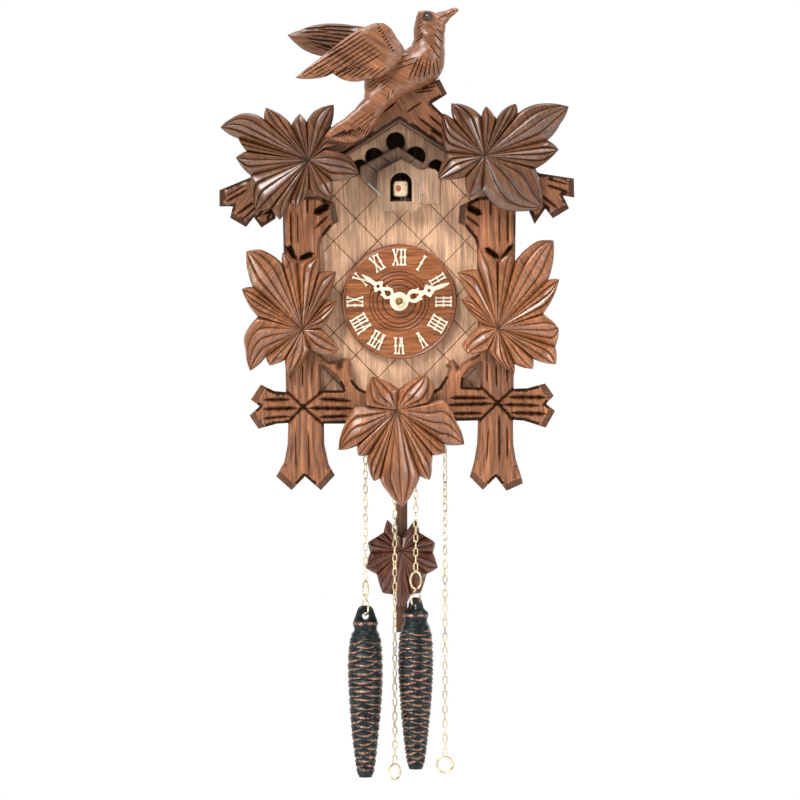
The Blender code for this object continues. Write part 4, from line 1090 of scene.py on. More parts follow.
def lathe(name, profile, spot, material, body, slot, nodes=(), steps=64, axis="Y",
          ring=False, shape=None, sharp=35):
    """A turned piece. The profile is (radius, height); for axis Y the height runs forward.

    A profile that starts or ends on the axis is closed there; ring=True joins its two ends.
    """
    profile = np.array(profile, float)
    on_axis = profile[:, 0] < 1e-6
    turns = np.linspace(0, 2 * np.pi, steps, endpoint=False)
    rings, verts, tones = [], [], []
    for (radius, height), pole in zip(profile, on_axis):
        if pole:
            rings.append([len(verts)] * steps)
            verts.append((0.0, 0.0, height))
            tones.append(PLAIN)
            continue
        radii, heights, tone = (np.full(steps, radius), np.full(steps, height),
                                np.full(steps, PLAIN))
        if shape:
            radii, heights, tone = shape(turns, radius, height)
        rings.append(list(range(len(verts), len(verts) + steps)))
        verts += list(zip(radii * np.cos(turns), radii * np.sin(turns), heights))
        tones += list(tone)
    faces = []
    pairs = list(zip(rings, rings[1:]))
    if ring:
        pairs.append((rings[-1], rings[0]))
    for upper, lower in pairs:
        for i in range(steps):
            j = (i + 1) % steps
            corners = []
            for index in (upper[i], upper[j], lower[j], lower[i]):
                if index not in corners:
                    corners.append(index)
            if len(corners) > 2:
                faces.append(tuple(corners))
    if not ring:
        for loop, pole in ((rings[0], on_axis[0]), (rings[-1], on_axis[-1])):
            if not pole:
                faces.append(tuple(loop))
    points = np.array(verts)
    if axis == "Y":
        points = np.column_stack([points[:, 0], -points[:, 2], points[:, 1]])
    points = points + np.array(spot)
    piece = new_piece(name, points, faces, material, tones, sharp)
    return own(piece, body, slot, *nodes)


def rounded(points, parts=6):
    """A smooth curve through the points."""
    p = [Vector(v) for v in points]
    count = len(p)
    out = []
    for i in range(count - 1):
        a, b, c, d = (p[min(max(i + k, 0), count - 1)] for k in (-1, 0, 1, 2))
        for step in range(parts):
            t = step / parts
            out.append(0.5 * (2 * b + (c - a) * t + (2 * a - 5 * b + 4 * c - d) * t ** 2
                              + (3 * b - a - 3 * c + d) * t ** 3))
    return out + [p[-1]]


def strip_faces(rows, sides, closed=False):
    """Quads between rings of points; closed joins the last ring to the first."""
    faces = []
    for i in range(rows if closed else rows - 1):
        j = (i + 1) % rows
        for k in range(sides):
            m = (k + 1) % sides
            faces.append((i * sides + k, i * sides + m, j * sides + m, j * sides + k))
    return faces


def tube_mesh(points, radius, closed=False, sides=10):
    """Vertices and faces of a round wire along the points."""
    points = [Vector(p) for p in points]
    count = len(points)
    verts = []
    normal = None
    for i, point in enumerate(points):
        ahead = points[(i + 1) % count] if closed or i < count - 1 else point
        behind = points[i - 1] if closed or i > 0 else point
        along = (ahead - behind).normalized()
        if normal is None:
            normal = along.orthogonal().normalized()
            if closed:
                plane = (points[1] - points[0]).cross(points[2] - points[1])
                if plane.length > 1e-9:
                    normal = plane.normalized()
        normal = (normal - along * normal.dot(along)).normalized()
        other = along.cross(normal)
        for k in range(sides):
            a = 2 * math.pi * k / sides
            verts.append(tuple(point + radius * (math.cos(a) * normal + math.sin(a) * other)))
    faces = strip_faces(count, sides, closed)
    if not closed:
        faces.append(tuple(range(sides))[::-1])
        faces.append(tuple((count - 1) * sides + k for k in range(sides)))
    return verts, faces


def wire(name, points, radius, material, body, slot, nodes=(), sides=10):
    """A bent wire through the points, with flat ends."""
    verts, faces = tube_mesh(points, radius, False, sides)
    return own(new_piece(name, verts, faces, material, sharp=60), body, slot, *nodes)


# ---------------------------------------------------------------- front board

SOUND_HOLES = [(-2.5, 110.2, 6.6), (-17.3, 99.8, 6.2), (11.3, 100.0, 6.9),
               (25.4, 92.5, 5.5), (-27.4, 92.5, 5.5)]
ARBOR_HOLE = 6.0
DOORWAY = (-7.2, 9.8, 65.5, 90.2)           # left, right, foot and top
PORCH_ARCH = (-6.1, 8.7, 68.7, 88.6)


def arch(left, right, low, top, count=16):
    """The loop of a doorway with a round head."""
    radius, middle = (right - left) / 2, (left + right) / 2
    head = [(middle + radius * math.cos(math.pi * i / count),
             top - radius + radius * math.sin(math.pi * i / count)) for i in range(count + 1)]
    return [(left, low), (right, low)] + head


def circle(x, z, radius, count=40):
    """A round loop."""
    return [(x + radius * math.cos(2 * math.pi * i / count),
             z + radius * math.sin(2 * math.pi * i / count)) for i in range(count)]


def lattice_lines(loop, half_x=15.15, half_z=15.7, spot=(0.3, 57.3)):
    """The scribed diamonds: lines both ways, cut off a little inside the board's edge."""
    slope = half_z / half_x
    lines = []
    for way in (-1, 1):
        for k in range(-7, 8):
            level = spot[1] + 2 * half_z * k - way * slope * spot[0]
            xs = np.arange(-65, 65, 0.5)
            points = np.column_stack([xs, level + way * slope * xs])
            keep = inside(points, loop) & (distance(points, loop, True) > 0.8)
            if keep.sum() > 4:
                points = points[keep]
                lines.append([tuple(points[0]), tuple(points[-1])])
    return lines


def make_board():
    """The front board: doorway, sound holes and scribed lattice."""
    front, rear = depths("front_board")
    eave, peak = roof_at(66) - 0.4, ROOF_TOP - 0.4
    shape = [(-66, CASE_LOW), (66, CASE_LOW), (66, eave), (0, peak), (-66, eave)]
    field_loop = [(-53, -60), (53, -60), (53, 72), (40, 86), (-40, 86), (-53, 72)]
    cuts = [(start, end, 0.50 + 0.06 * math.sin(i * 2.1), 1)
            for i, (start, end) in enumerate(lattice_lines(field_loop))]

    def face(points, edge):
        deep = cut_depth(points, cuts)
        holes = np.min([np.hypot(points[:, 0] - x, points[:, 1] - z) - r
                        for x, z, r in SOUND_HOLES], 0)
        # Darker in a ring round each sound hole.
        hole_rim_dark = groove(holes, 1.2)
        tone = np.where(deep > 0.03, 0.2 - 0.3 * deep, 0.80)
        return front + 1.3 * deep + 0.45 * groove(edge, 0.7), \
            np.clip(tone - 0.4 * hole_rim_dark, 0, 1)
    loops = [bowed(shape, 0, 1.5), arch(*DOORWAY)]
    loops += [circle(*hole) for hole in SOUND_HOLES] + [circle(0, 0, ARBOR_HOLE)]
    piece = carve("front_board_scribed", loops, 1.6, face, rear,
                  panel_wood("board_wood", 2, 1.18), cuts, 25)
    own(piece, "case", "panel_wood", "front_board")


# ---------------------------------------------------------------- little house

PORCH_ROOF_TOP = [(14.6, 72), (25, 84), (25.4, 89.2), (-1, 106.4), (-27.1, 92.5),
                  (-26.7, 86.7), (-15.7, 73.2)]
PORCH_FRONT = [(1.2, 98.1), (-15, 89.4), (-15.6, 73.4), (-14.6, 66), (-10.8, 61.5),
               (3.2, 62.9), (10.7, 61.3), (16.2, 65.9), (16.2, 89.8)]


def make_house():
    """The porch over the doorway: its front panel and its little roof."""
    wood = panel_wood("house_wood", 4, 0.57)
    front_wood = panel_wood("house_front_wood", 3, 0.66, 0.75)
    roof_front, roof_rear = depths("house_roof")
    front, rear = depths("house_front")
    shingles = [[(-12.6, 100.9), (-5.4, 94.4)], [(11.9, 98.7), (7.2, 95.1)],
                [(-22.6, 95.2), (-15.2, 90.0)], [(20.6, 93.2), (16.0, 90.6)]]

    def roof_face(points, edge):
        cut = np.max([groove(distance(points, line), 0.75) for line in shingles], 0)
        drop = 0.9 * cut + 0.6 * groove(edge, 1.0)
        return roof_front + drop, np.clip(0.85 - 0.85 * cut - 0.25 * groove(edge, 0.8), 0, 1)
    head = arch(*DOORWAY)
    # The doorway is open at its foot, so the roof board wraps round it.
    right_foot, left_foot = (9.8, 72.3), (-7.2, 72.7)
    loop = PORCH_ROOF_TOP + [left_foot] + head[:1:-1] + [right_foot]
    roof = carve("house_roof_board", [bowed(loop, 0, 1.0)], 0.8, roof_face, roof_rear, wood)
    own(roof, "case", "panel_wood", "house_roof")

    def front_face(points, edge):
        drop = 0.6 * groove(edge, 0.8)
        nick = groove(distance(points, [(-15.6, 73.4), (-12.9, 71.5)]), 0.6)
        return front + drop + 0.5 * nick, np.clip(0.84 - 0.35 * groove(edge, 0.7)
                                                   - 0.6 * nick, 0, 1)
    panel = carve("house_front_panel", [bowed(PORCH_FRONT, 0, 1.0), arch(*PORCH_ARCH)], 0.8,
                  front_face, rear, front_wood)
    own(panel, "case", "panel_wood", "house_front")


HINGE = (14.2, -104.0)
DOOR_OPEN = math.radians(132)


def swung(points):
    """Points of the shut door, turned about the hinge wire to where it stands open."""
    points = np.array(points, float)
    x, y = points[:, 0] - HINGE[0], points[:, 1] - HINGE[1]
    c, s = math.cos(DOOR_OPEN), math.sin(DOOR_OPEN)
    return np.column_stack([HINGE[0] + x * c - y * s, HINGE[1] + x * s + y * c, points[:, 2]])


def move_points(piece, change):
    """Change a finished piece's points, in metres, by a function of them all."""
    mesh = piece.data
    spots = np.empty(len(mesh.vertices) * 3, np.float32)
    mesh.vertices.foreach_get("co", spots)
    mesh.vertices.foreach_set("co", change(spots.reshape(-1, 3)).astype(np.float32).ravel())
    mesh.update()


def make_door_leaf():
    """A board with one rounded corner, drawn shut and then turned open."""
    thick, low, top = 2.2, 66.5, 90.6
    edge_x, far = HINGE[0] - 0.9, HINGE[0] - 20.6
    round_x, round_z = 7.7, 8.9
    corner = [(far + round_x - round_x * math.cos(math.pi / 2 * i / 10),
               top - round_z + round_z * math.sin(math.pi / 2 * i / 10)) for i in range(11)]
    loop = [(edge_x, low), (edge_x, top)] + corner[::-1] + [(far, low)]
    wood = panel_wood("door_wood", 3, 0.56, 0.75)

    def skin(side):
        def face(points, edge):
            y = HINGE[1] + side * (thick / 2 - 0.45 * groove(edge, 0.6))
            wear_and_light = ripple(points, 5.0, 1.0)
            return y, np.clip(0.84 + 0.1 * wear_and_light - 0.3 * groove(edge, 0.6), 0, 1)
        return face
    leaf = carve("door_leaf", [bowed(loop, 0, 0.9)], 0.8, skin(-1), skin(1), wood)
    move_points(leaf, lambda spots: swung(spots / MM) * MM)
    own(leaf, "door", "panel_wood", "door")


def make_hinge(wire_metal):
    """The hinge wire, the two eyes of the door that turn on it, and the link's staple."""
    pin = [(HINGE[0], -102.6, 86.3), (HINGE[0], -103.4, 86.3), (HINGE[0], -104.0, 85.9),
           (HINGE[0] - 0.12, -104.05, 81), (HINGE[0] + 0.05, -103.95, 74),
           (HINGE[0], -104.0, 69.1), (HINGE[0], -103.4, 68.7), (HINGE[0], -102.6, 68.7)]
    wire("hinge_pin", rounded(pin), 0.58, wire_metal, "case", "steel_wire",
         ("door_hinge_wire",))
    for i, z in enumerate((84.2, 71.2)):
        eye = [(HINGE[0] - 2.6, -103.2, z), (HINGE[0] - 0.8, -103.15, z + 0.15),
               (HINGE[0] + 0.55, -103.4, z + 0.25), (HINGE[0] + 0.75, -104.1, z),
               (HINGE[0] + 0.2, -104.9, z - 0.25), (HINGE[0] - 1.0, -105.2, z - 0.15),
               (HINGE[0] - 2.6, -105.25, z)]
        hook = wire("hinge_eye_%d" % (i + 1), swung(rounded(eye)).tolist(), 0.27,
                    wire_metal, "door", "steel_wire")
        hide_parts("door")
    staple = [(HINGE[0] - 6.1, -103.4, 73.0), (HINGE[0] - 6.1, -101.7, 73.0),
              (HINGE[0] - 6.3, -101.1, 72.7), (HINGE[0] - 6.8, -100.9, 72.2),
              (HINGE[0] - 7.3, -101.0, 71.9), (HINGE[0] - 7.6, -101.7, 71.7),
              (HINGE[0] - 7.6, -103.4, 71.7)]
    wire("door_staple", swung(rounded(staple)).tolist(), 0.38, wire_metal, "door",
         "steel_wire")


def make_latch(wire_metal):
    """The bent wire that turns in front of the door to lock it."""
    latch = [(-21.1, -97.6, 81.3), (-21.1, -101.5, 81.3), (-21.1, -102.7, 81.25),
             (-20.9, -103.3, 81.05), (-20.4, -103.6, 80.6), (-18.4, -103.7, 78.55),
             (-15.4, -103.55, 75.75), (-12.2, -103.6, 72.6)]
    wire("latch_hook", rounded(latch), 0.5, wire_metal, "latch", "steel_wire",
         ("door_latch",))
    lathe("latch_head", [(0, 1.2), (0.75, 1.1), (1.1, 0.6), (1.0, 0.0), (0, 0.0)],
          (-21.1, -102.9, 81.3), wire_metal, "latch", "steel_wire", steps=20)


def cuckoo_points(centre, size, rings, sides):
    """A rounded block with an open beak and a notch under it, as moulded plastic has."""
    verts = []
    for i in range(rings + 1):
        tilt = math.pi * i / rings
        for j in range(sides):
            turn = 2 * math.pi * j / sides
            d = np.array((math.sin(tilt) * math.cos(turn), math.sin(tilt) * math.sin(turn),
                          math.cos(tilt)))
            power = 7           # 2 gives a ball, and more gives a squarer block
            r = 0.8 / (np.abs(d) ** power).sum() ** (1 / power) + 0.2
            p = d * r * size
            mouth = math.exp(-((p[0] + 1.55) / 1.7) ** 2 - ((p[2] - 0.35) / 2.5) ** 2)
            lip = math.exp(-(((p[0] + 1.55) / 2.4) ** 2 + ((p[2] - 0.35) / 3.3) ** 2 - 1) ** 2 * 4)
            if d[1] < 0:
                p[1] += 2.2 * mouth ** 1.4 - 0.5 * lip
            notch = math.exp(-((p[2] + 3.6) / 0.8) ** 2 - ((p[0] - 1.3) / 1.0) ** 2)
            p[2] += 0.9 * notch
            p[0] += 0.28 * math.sin(p[2] * 2.1) * (d[0] < -0.5)
            p[1] += 0.10 * math.sin(p[0] * 3.1) * math.sin(p[2] * 2.6)
            verts.append(np.array(centre) + p)
    return verts


def make_cuckoo_head():
    """The moulded head that fills the doorway, with a red mouth and an eye."""
    cream = make_paint("cuckoo_cream", (0.62, 0.47, 0.27), (0.90, 0.78, 0.56), 0.4, 500,
                       0.0002, 0.2)
    red = make_paint("beak_red", (0.30, 0.045, 0.02), (0.55, 0.13, 0.075), 0.45, 600, 0.0002)
    rings, sides = 26, 40
    verts = cuckoo_points((0.95, -94.0, 77.5), (5.15, 5.3, 5.6), rings, sides)
    head = new_piece("cuckoo_head", verts, strip_faces(rings + 1, sides), cream,
                     np.full(len(verts), PLAIN), 60)
    merge(head)
    own(head, "cuckoo_slide", "cuckoo_paint", "cuckoo")
    lathe("cuckoo_mouth", [(0, 0.9), (1.0, 0.75), (1.4, 0.2), (1.0, -0.5), (0, -0.9)],
          (-0.45, -98.2, 77.7), red, "cuckoo_slide", "cuckoo_paint", steps=28,
          shape=lambda a, r, h: (r * (1.35 + 0.75 * np.abs(np.sin(a))),
                                 np.full(len(a), h) + 0.15 * np.cos(2 * a),
                                 np.full(len(a), PLAIN)))
    lathe("cuckoo_eye", [(0, 0.45), (0.5, 0.35), (0.62, 0), (0, -0.3)],
          (4.35, -98.6, 80.2), make_paint("cuckoo_eye_paint", (0.05, 0.02, 0.01),
                                         (0.10, 0.04, 0.02), 0.3, 700),
          "cuckoo_slide", "cuckoo_paint", steps=18)


def make_cuckoo_wires(wire_metal):
    """Two legs, the rod that carries the cuckoo, and the two stubs of the door's link."""
    dull = make_metal("dull_wire", (0.16, 0.15, 0.13), (0.38, 0.36, 0.31), 0.35)
    for i, x in enumerate((1.4, 3.9)):
        leg = [(x, -93.6, 73.4), (x, -93.8, 71.4), (x + 0.1, -93.6, 69.6),
               (x + 0.05, -92.6, 68.7), (x - 0.2, -90.5, 68.5)]
        wire("cuckoo_leg_%d" % (i + 1), rounded(leg), 0.42, wire_metal, "cuckoo_slide",
             "steel_wire")
    arm = [(1.3, -60, 68), (1.3, -75, 68), (1.2, -86, 68.1), (1.35, -93, 68)]
    wire("cuckoo_rod", rounded(arm), 0.8, dull, "cuckoo_slide", "steel_wire",
         ("cuckoo_arm",))
    link = [(2.0, -92.6, 70.3), (4.6, -93.4, 70.6), (7.6, -94.2, 70.7)]
    wire("door_link_inner", rounded(link), 0.32, dull, "cuckoo_slide", "steel_wire")
    outer = [(HINGE[0] - 6.9, -101.8, 72.6), (HINGE[0] - 6.9, -100.4, 71.9),
             (HINGE[0] - 7.3, -99.6, 71.2), (HINGE[0] - 7.9, -98.8, 71.0)]
    wire("door_link_outer", swung(rounded(outer)).tolist(), 0.32, wire_metal, "door",
         "steel_wire")


def merge(piece):
    """Join vertices that share a place, such as a ball's poles."""
    shape = bmesh.new()
    shape.from_mesh(piece.data)
    bmesh.ops.remove_doubles(shape, verts=shape.verts, dist=1e-7)
    bmesh.ops.dissolve_degenerate(shape, edges=shape.edges, dist=1e-8)
    bmesh.ops.recalc_face_normals(shape, faces=shape.faces)
    shape.to_mesh(piece.data)
    shape.free()


# ---------------------------------------------------------------- dial and hands

DIAL_RINGS = ((38.0, 0.6, 0.6), (20.4, 0.7, 0.8), (17.9, 0.75, 0.9), (15.2, 0.75, 0.9),
              (11.1, 0.9, 1.0))             # radius, half width and depth of each turned ring
DIAL_BORE = 3.95


def make_dial_wood():
    """Dark red wood with its grain level, and dark in the turned rings."""
    n = Nodes("dial_wood")
    across = n.mapped((0.07, 1, 1))
    fine = n.mapped((0.035, 1, 1))
    streaks = n.noise(across, 800, 5, 0.65, 0.5)
    pores = n.noise(fine, 2200, 3, 0.7)
    color = n.ramp(streaks, [(0.30, (0.13, 0.036, 0.010)), (0.5, (0.26, 0.080, 0.022)),
                             (0.72, (0.40, 0.145, 0.048))])
    bands = n.noise(n.mapped((0.05, 1, 1)), 330, 3, 0.55, 0.4)
    color = n.mix(0.8, color, n.grays(bands, (0.36, 0.62), (0.64, 1.1)), "MULTIPLY")
    color = n.mix(0.55, color, n.grays(pores, (0.36, 0.3), (0.48, 1.0)), "MULTIPLY")
    cut = n.grays(n.relief(), (0.0, 0.2), (0.6, 1.0), (1.0, 1.15))
    color = n.mix(0.75, color, cut, "MULTIPLY")
    n.feed("Base Color", color)
    n.feed("Roughness", n.grays(streaks, (0.3, 0.30), (0.7, 0.42)))
    n.feed("Normal", n.bump(pores, 0.35, 0.0003))
    n.feed("Coat Weight", 0.25)
    n.feed("Coat Roughness", 0.2)
    return n.material


def make_dial():
    """A turned disc. Its profile has close steps where the rings are."""
    front, rear = (-y for y in depths("dial"))
    radii = np.concatenate([np.arange(39.55, 36.9, -0.28), np.arange(36.9, 22.2, -1.2),
                            np.arange(22.2, DIAL_BORE, -0.22), [DIAL_BORE]])
    profile = [(39.5, rear)]
    cut_tone = {}
    for r in radii:
        cut = sum(float(groove(abs(r - at), wide)) * deep for at, wide, deep in DIAL_RINGS)
        dome = 0.30 * math.cos(min(abs(r - 13) / 7.0, 1) * math.pi) - 0.30
        lip = -1.1 * float(ease(r, 38.6, 39.6))
        height = front + dome * 0.6 - cut + lip
        profile.append((float(r), height))
        cut_tone[round(float(r), 4)] = max(0.0, 0.9 - 1.0 * cut - 0.15 * (r > 39))
    profile.append((DIAL_BORE, rear))

    def tone(turns, radius, height):
        value = cut_tone.get(round(radius, 4), 0.5) if height > rear + 0.1 else 0.5
        return (np.full(len(turns), radius), np.full(len(turns), height),
                np.full(len(turns), value))
    lathe("dial_disc", profile, (0, 0, 0), make_dial_wood(), "case", "dial_wood",
          ("dial",), steps=180, ring=True, shape=tone, sharp=50)


def spun(loop, degrees):
    """A loop drawn for twelve o'clock, turned clockwise."""
    c, s = math.cos(math.radians(degrees)), math.sin(math.radians(degrees))
    return [(u * c + v * s, -u * s + v * c) for u, v in loop]


def stroke(start, end, width, flare=1.0, bump=0.55):
    """One stroke of a numeral: waisted, with a flared end each way and a middle bump."""
    a, b = np.array(start, float), np.array(end, float)
    along = (b - a) / np.linalg.norm(b - a)
    across = np.array((-along[1], along[0]))
    length = np.linalg.norm(b - a)
    half = width / 2
    side = [(0, half + flare * 0.62), (0.75, half + flare * 0.62), (1.7, half),
            (length / 2 - 1.0, half), (length / 2, half + bump), (length / 2 + 1.0, half),
            (length - 1.7, half), (length - 0.75, half + flare * 0.62),
            (length, half + flare * 0.62)]
    left = [tuple(a + along * t + across * w) for t, w in side]
    right = [tuple(a + along * t - across * w) for t, w in side]
    return right + left[::-1]


GLYPHS = {"I": 2.55, "V": 5.0, "X": 5.4}
NUMERAL_TALL, NUMERAL_FOOT = 11.6, 24.7         # height, and distance from the dial's middle
NUMERAL_SQUEEZE = {"XII": 0.98, "VIII": 0.96, "VII": 0.98}


def numeral_strokes(text, tall):
    """Stroke outlines of a Roman numeral, centred, standing on v = 0."""
    width = sum(GLYPHS[c] for c in text)
    u = -width / 2
    out = []
    for c in text:
        wide = GLYPHS[c]
        if c == "I":
            out.append(stroke((u + wide / 2, 0), (u + wide / 2, tall), 1.15, 1.0, 0.75))
        elif c == "V":
            out.append(stroke((u + wide / 2 - 0.2, 0), (u + 0.95, tall), 1.2, 0.7, 0.55))
            out.append(stroke((u + wide / 2 + 0.2, 0), (u + wide - 0.85, tall), 0.75, 0.9, 0.6))
        else:
            out.append(stroke((u + wide - 1.0, 0), (u + 1.0, tall), 1.2, 0.7, 0.0))
            out.append(stroke((u + 1.0, 0), (u + wide - 1.0, tall), 0.7, 1.0, 0.5))
        u += wide
    return out


def make_numerals():
    """Twelve numerals of solid letters, each stroke a separate piece."""
    cream = make_paint("numeral_cream", (0.62, 0.52, 0.38), (0.76, 0.67, 0.52), 0.36, 900,
                       0.0001, 0.2)
    seat = depths("dial")[0] + 0.45
    texts = ("XII", "I", "II", "III", "IIII", "V", "VI", "VII", "VIII", "IX", "X", "XI")
    for hour, text in enumerate(texts):
        squeeze = NUMERAL_SQUEEZE.get(text, 1.0)
        for k, outline in enumerate(numeral_strokes(text, NUMERAL_TALL)):
            outline = spun([(u * squeeze, v + NUMERAL_FOOT) for u, v in outline], 30 * hour)
            front = seat - 1.05 - 0.03 * k

            def face(flat, edge, front=front):
                return front + 0.28 * groove(edge, 0.35), np.full(len(flat), PLAIN)
            piece = carve("numeral_%d_%d" % (hour or 12, k + 1),
                          [bowed(outline, 0, 0.45)], 0.45, face, seat, cream, sharp=40)
            own(piece, "case", "cream_plastic")


HUB = 6.4
HAND_ROOT, HAND_EYE, HAND_NECK, HAND_TIP = 6.2, 21.8, 24.6, 36.6    # along the drawn hand


def hand_loops(reach, waist, k):
    """A pierced hand pointing up: the outline and its holes.

    reach is from the middle to the tip, waist is as far as the eye, and k widens the root.
    """
    right = [(6.2, 2.2), (8.2, 3.9 * k), (10.2, 4.7 * k), (12.0, 4.6 * k), (13.5, 3.9 * k),
             (15.6, 4.4 * k), (15.2, 2.9 * k), (16.0, 2.0), (17.4, 1.55), (18.6, 1.7),
             (19.6, 2.9), (20.2, 4.1), (21.3, 4.6), (22.4, 4.1), (22.5, 3.0),
             (23.4, 3.2), (24.3, 2.6), (24.6, 1.75), (26.4, 1.35), (29.0, 1.45),
             (32.0, 1.35), (34.6, 0.9)]
    ratio = (waist - HAND_ROOT) / (HAND_EYE - HAND_ROOT)
    neck = HAND_ROOT + (HAND_NECK - HAND_ROOT) * ratio
    slim = (reach - neck) / (HAND_TIP - HAND_NECK)
    right = [(HAND_ROOT + (r - HAND_ROOT) * ratio if r <= HAND_NECK
              else neck + (r - HAND_NECK) * slim, w) for r, w in right]
    hub = [(HUB * math.cos(a), HUB * math.sin(a)) for a in
           np.linspace(math.radians(68), math.radians(-248), 60)]
    left = [(-w, r) for r, w in right][::-1]
    tip = [(0.45, reach), (-0.45, reach)]
    outline = [(w, r) for r, w in right] + tip + left + hub[::-1]
    r0, r1 = HAND_ROOT + 1.7 * ratio, HAND_ROOT + 8.0 * ratio
    drop = [(0, r1 + 0.6), (-0.9, r1 - 0.6), (-1.9, (r0 + r1) / 2 + 0.4),
            (-2.1, r0 + 1.5), (-1.4, r0 + 0.3), (0, r0), (1.4, r0 + 0.3),
            (2.1, r0 + 1.5), (1.9, (r0 + r1) / 2 + 0.4), (0.9, r1 - 0.6)]
    eye = [(1.25 * math.cos(a), waist + 1.25 * math.sin(a))
           for a in np.linspace(0, 2 * math.pi, 20, endpoint=False)]
    return outline, [drop, eye]


def make_hand(name, node, turn, reach, waist, k, material, hub_hole):
    """A hand cut from sheet, turned clockwise from twelve, on the body of its own name."""
    front, rear = depths(node)
    outline, holes = hand_loops(reach, waist, k)
    loops = [bowed(spun(loop, turn), 0, 0.5) for loop in [outline] + holes]
    loops.append(circle(0, 0, hub_hole, 32))

    def face(points, edge):
        return front + 0.30 * groove(edge, 0.45), np.full(len(points), PLAIN)
    own(carve(name, loops, 0.5, face, rear, material, sharp=40), node, "cream_plastic", node)


def make_hands():
    """Both hands, set near ten past ten."""
    cream = make_paint("hand_cream", (0.66, 0.55, 0.40), (0.80, 0.70, 0.53), 0.34, 900,
                       0.0001, 0.25)
    make_hand("hour_hand_pierced", "hour_hand", 305.8, 31.3, 17.9, 0.92, cream, 2.6)
    make_hand("minute_hand_pierced", "minute_hand", 70.1, HAND_TIP, HAND_EYE, 1.0, cream, 2.2)


def make_nut():
    """The turned nut on the hands, and the end of the arbor in it."""
    brass = make_metal("nut_brass", (0.52, 0.40, 0.20), (0.86, 0.74, 0.48), 0.24)
    steel = make_metal("pin_steel", (0.30, 0.28, 0.24), (0.52, 0.50, 0.45), 0.28)
    lathe("hand_nut_turned",
          [(3.05, 0.0), (3.1, 1.9), (3.0, 2.4), (2.75, 2.6), (2.5, 2.5), (2.2, 1.5),
           (1.75, 1.2), (1.75, 0.1)],
          (0, -103.1, 0), brass, "minute_hand", "chain_brass", ("hand_nut",), steps=48,
          ring=True)
    lathe("hand_pin_end", [(0, 0.5), (0.7, 0.4), (1.25, 0.05), (1.4, -0.4), (1.4, -1.6),
                           (0, -1.6)],
          (0, -104.5, 0), steel, "minute_hand", "chain_brass", steps=32)


# ---------------------------------------------------------------- chains

CHAIN_Y = -50.0
WEIGHT_RUN_TOP, RING_RUN_TOP = 0, 26
LINK_PITCH = 5.0
LINK_WIRE = 0.40
LINK_LONG = 2.86                # from a link's middle to its end, along the wire's middle
LINK_WIDE = 1.30


def link_path(parts=5):
    """The middle line of one link's wire, standing upright and facing the front."""
    straight = LINK_LONG - LINK_WIDE
    path = []
    for way in (1, -1):
        for i in range(parts + 1):
            a = math.pi * i / parts
            path.append((way * LINK_WIDE * math.cos(a), 0,
                         way * (straight + LINK_WIDE * math.sin(a))))
    return path


def make_chain(name, body, node, x, top, end, twist, metal):
    """Links from just under top down to end, each turned a quarter from the last."""
    verts, faces = [], []
    ring_verts, ring_faces = tube_mesh(link_path(), LINK_WIRE, True, 7)
    ring_verts = np.array(ring_verts)
    count = int((top - end - 2 * LINK_WIRE) / LINK_PITCH)
    z = end + LINK_LONG + LINK_WIRE
    for i in range(count):
        turn = math.pi / 2 * (i % 2) + 0.16 * math.sin(i * 1.7 + twist) \
            + 0.5 * math.sin(i * 0.085 + twist) - 0.5 * math.sin(twist)
        c, s = math.cos(turn), math.sin(turn)
        spin = np.column_stack([ring_verts[:, 0] * c - ring_verts[:, 1] * s,
                                ring_verts[:, 0] * s + ring_verts[:, 1] * c,
                                ring_verts[:, 2]])
        base = len(verts)
        verts += (spin + (x, CHAIN_Y, z + i * LINK_PITCH)).tolist()
        faces += [tuple(base + k for k in face) for face in ring_faces]
    own(new_piece(name, verts, faces, metal, sharp=80), body, "chain_brass", node)


# For each side: where the cone hangs, how far its lobe and the hook's two ends are turned
# (degrees), how far its scales are (radians), the size of the hook, and a number that sets
# how the chain above it twists. A ring has its own number for the flats round it.
WEIGHTS = {
    "left": dict(x=-23.5, top=-210.2, cone_turn=8, scale_turn=0.1, hook_turn=26,
                 hook_rise=5.5, loop_top=-192.5, loop_half=5.4, loop_turn=26, twist=0.4),
    "right": dict(x=11.4, top=-204.6, cone_turn=-50, scale_turn=0.55, hook_turn=-40,
                  hook_rise=4.5, loop_top=-186.2, loop_half=6.0, loop_turn=-70, twist=2.0),
}
RINGS = {
    "left": dict(x=-3.1, z=-325.7, turn=49, seed=0.5, twist=0.0),
    "right": dict(x=31.8, z=-320.8, turn=0, seed=1.9, twist=3.9),
}
RING_REACH = 5.3                # from a ring's middle to the end of its chain
EYE_DROP = 7.2                  # from a cone's top to the middle of its eye
HOOK_BEND = 4.5


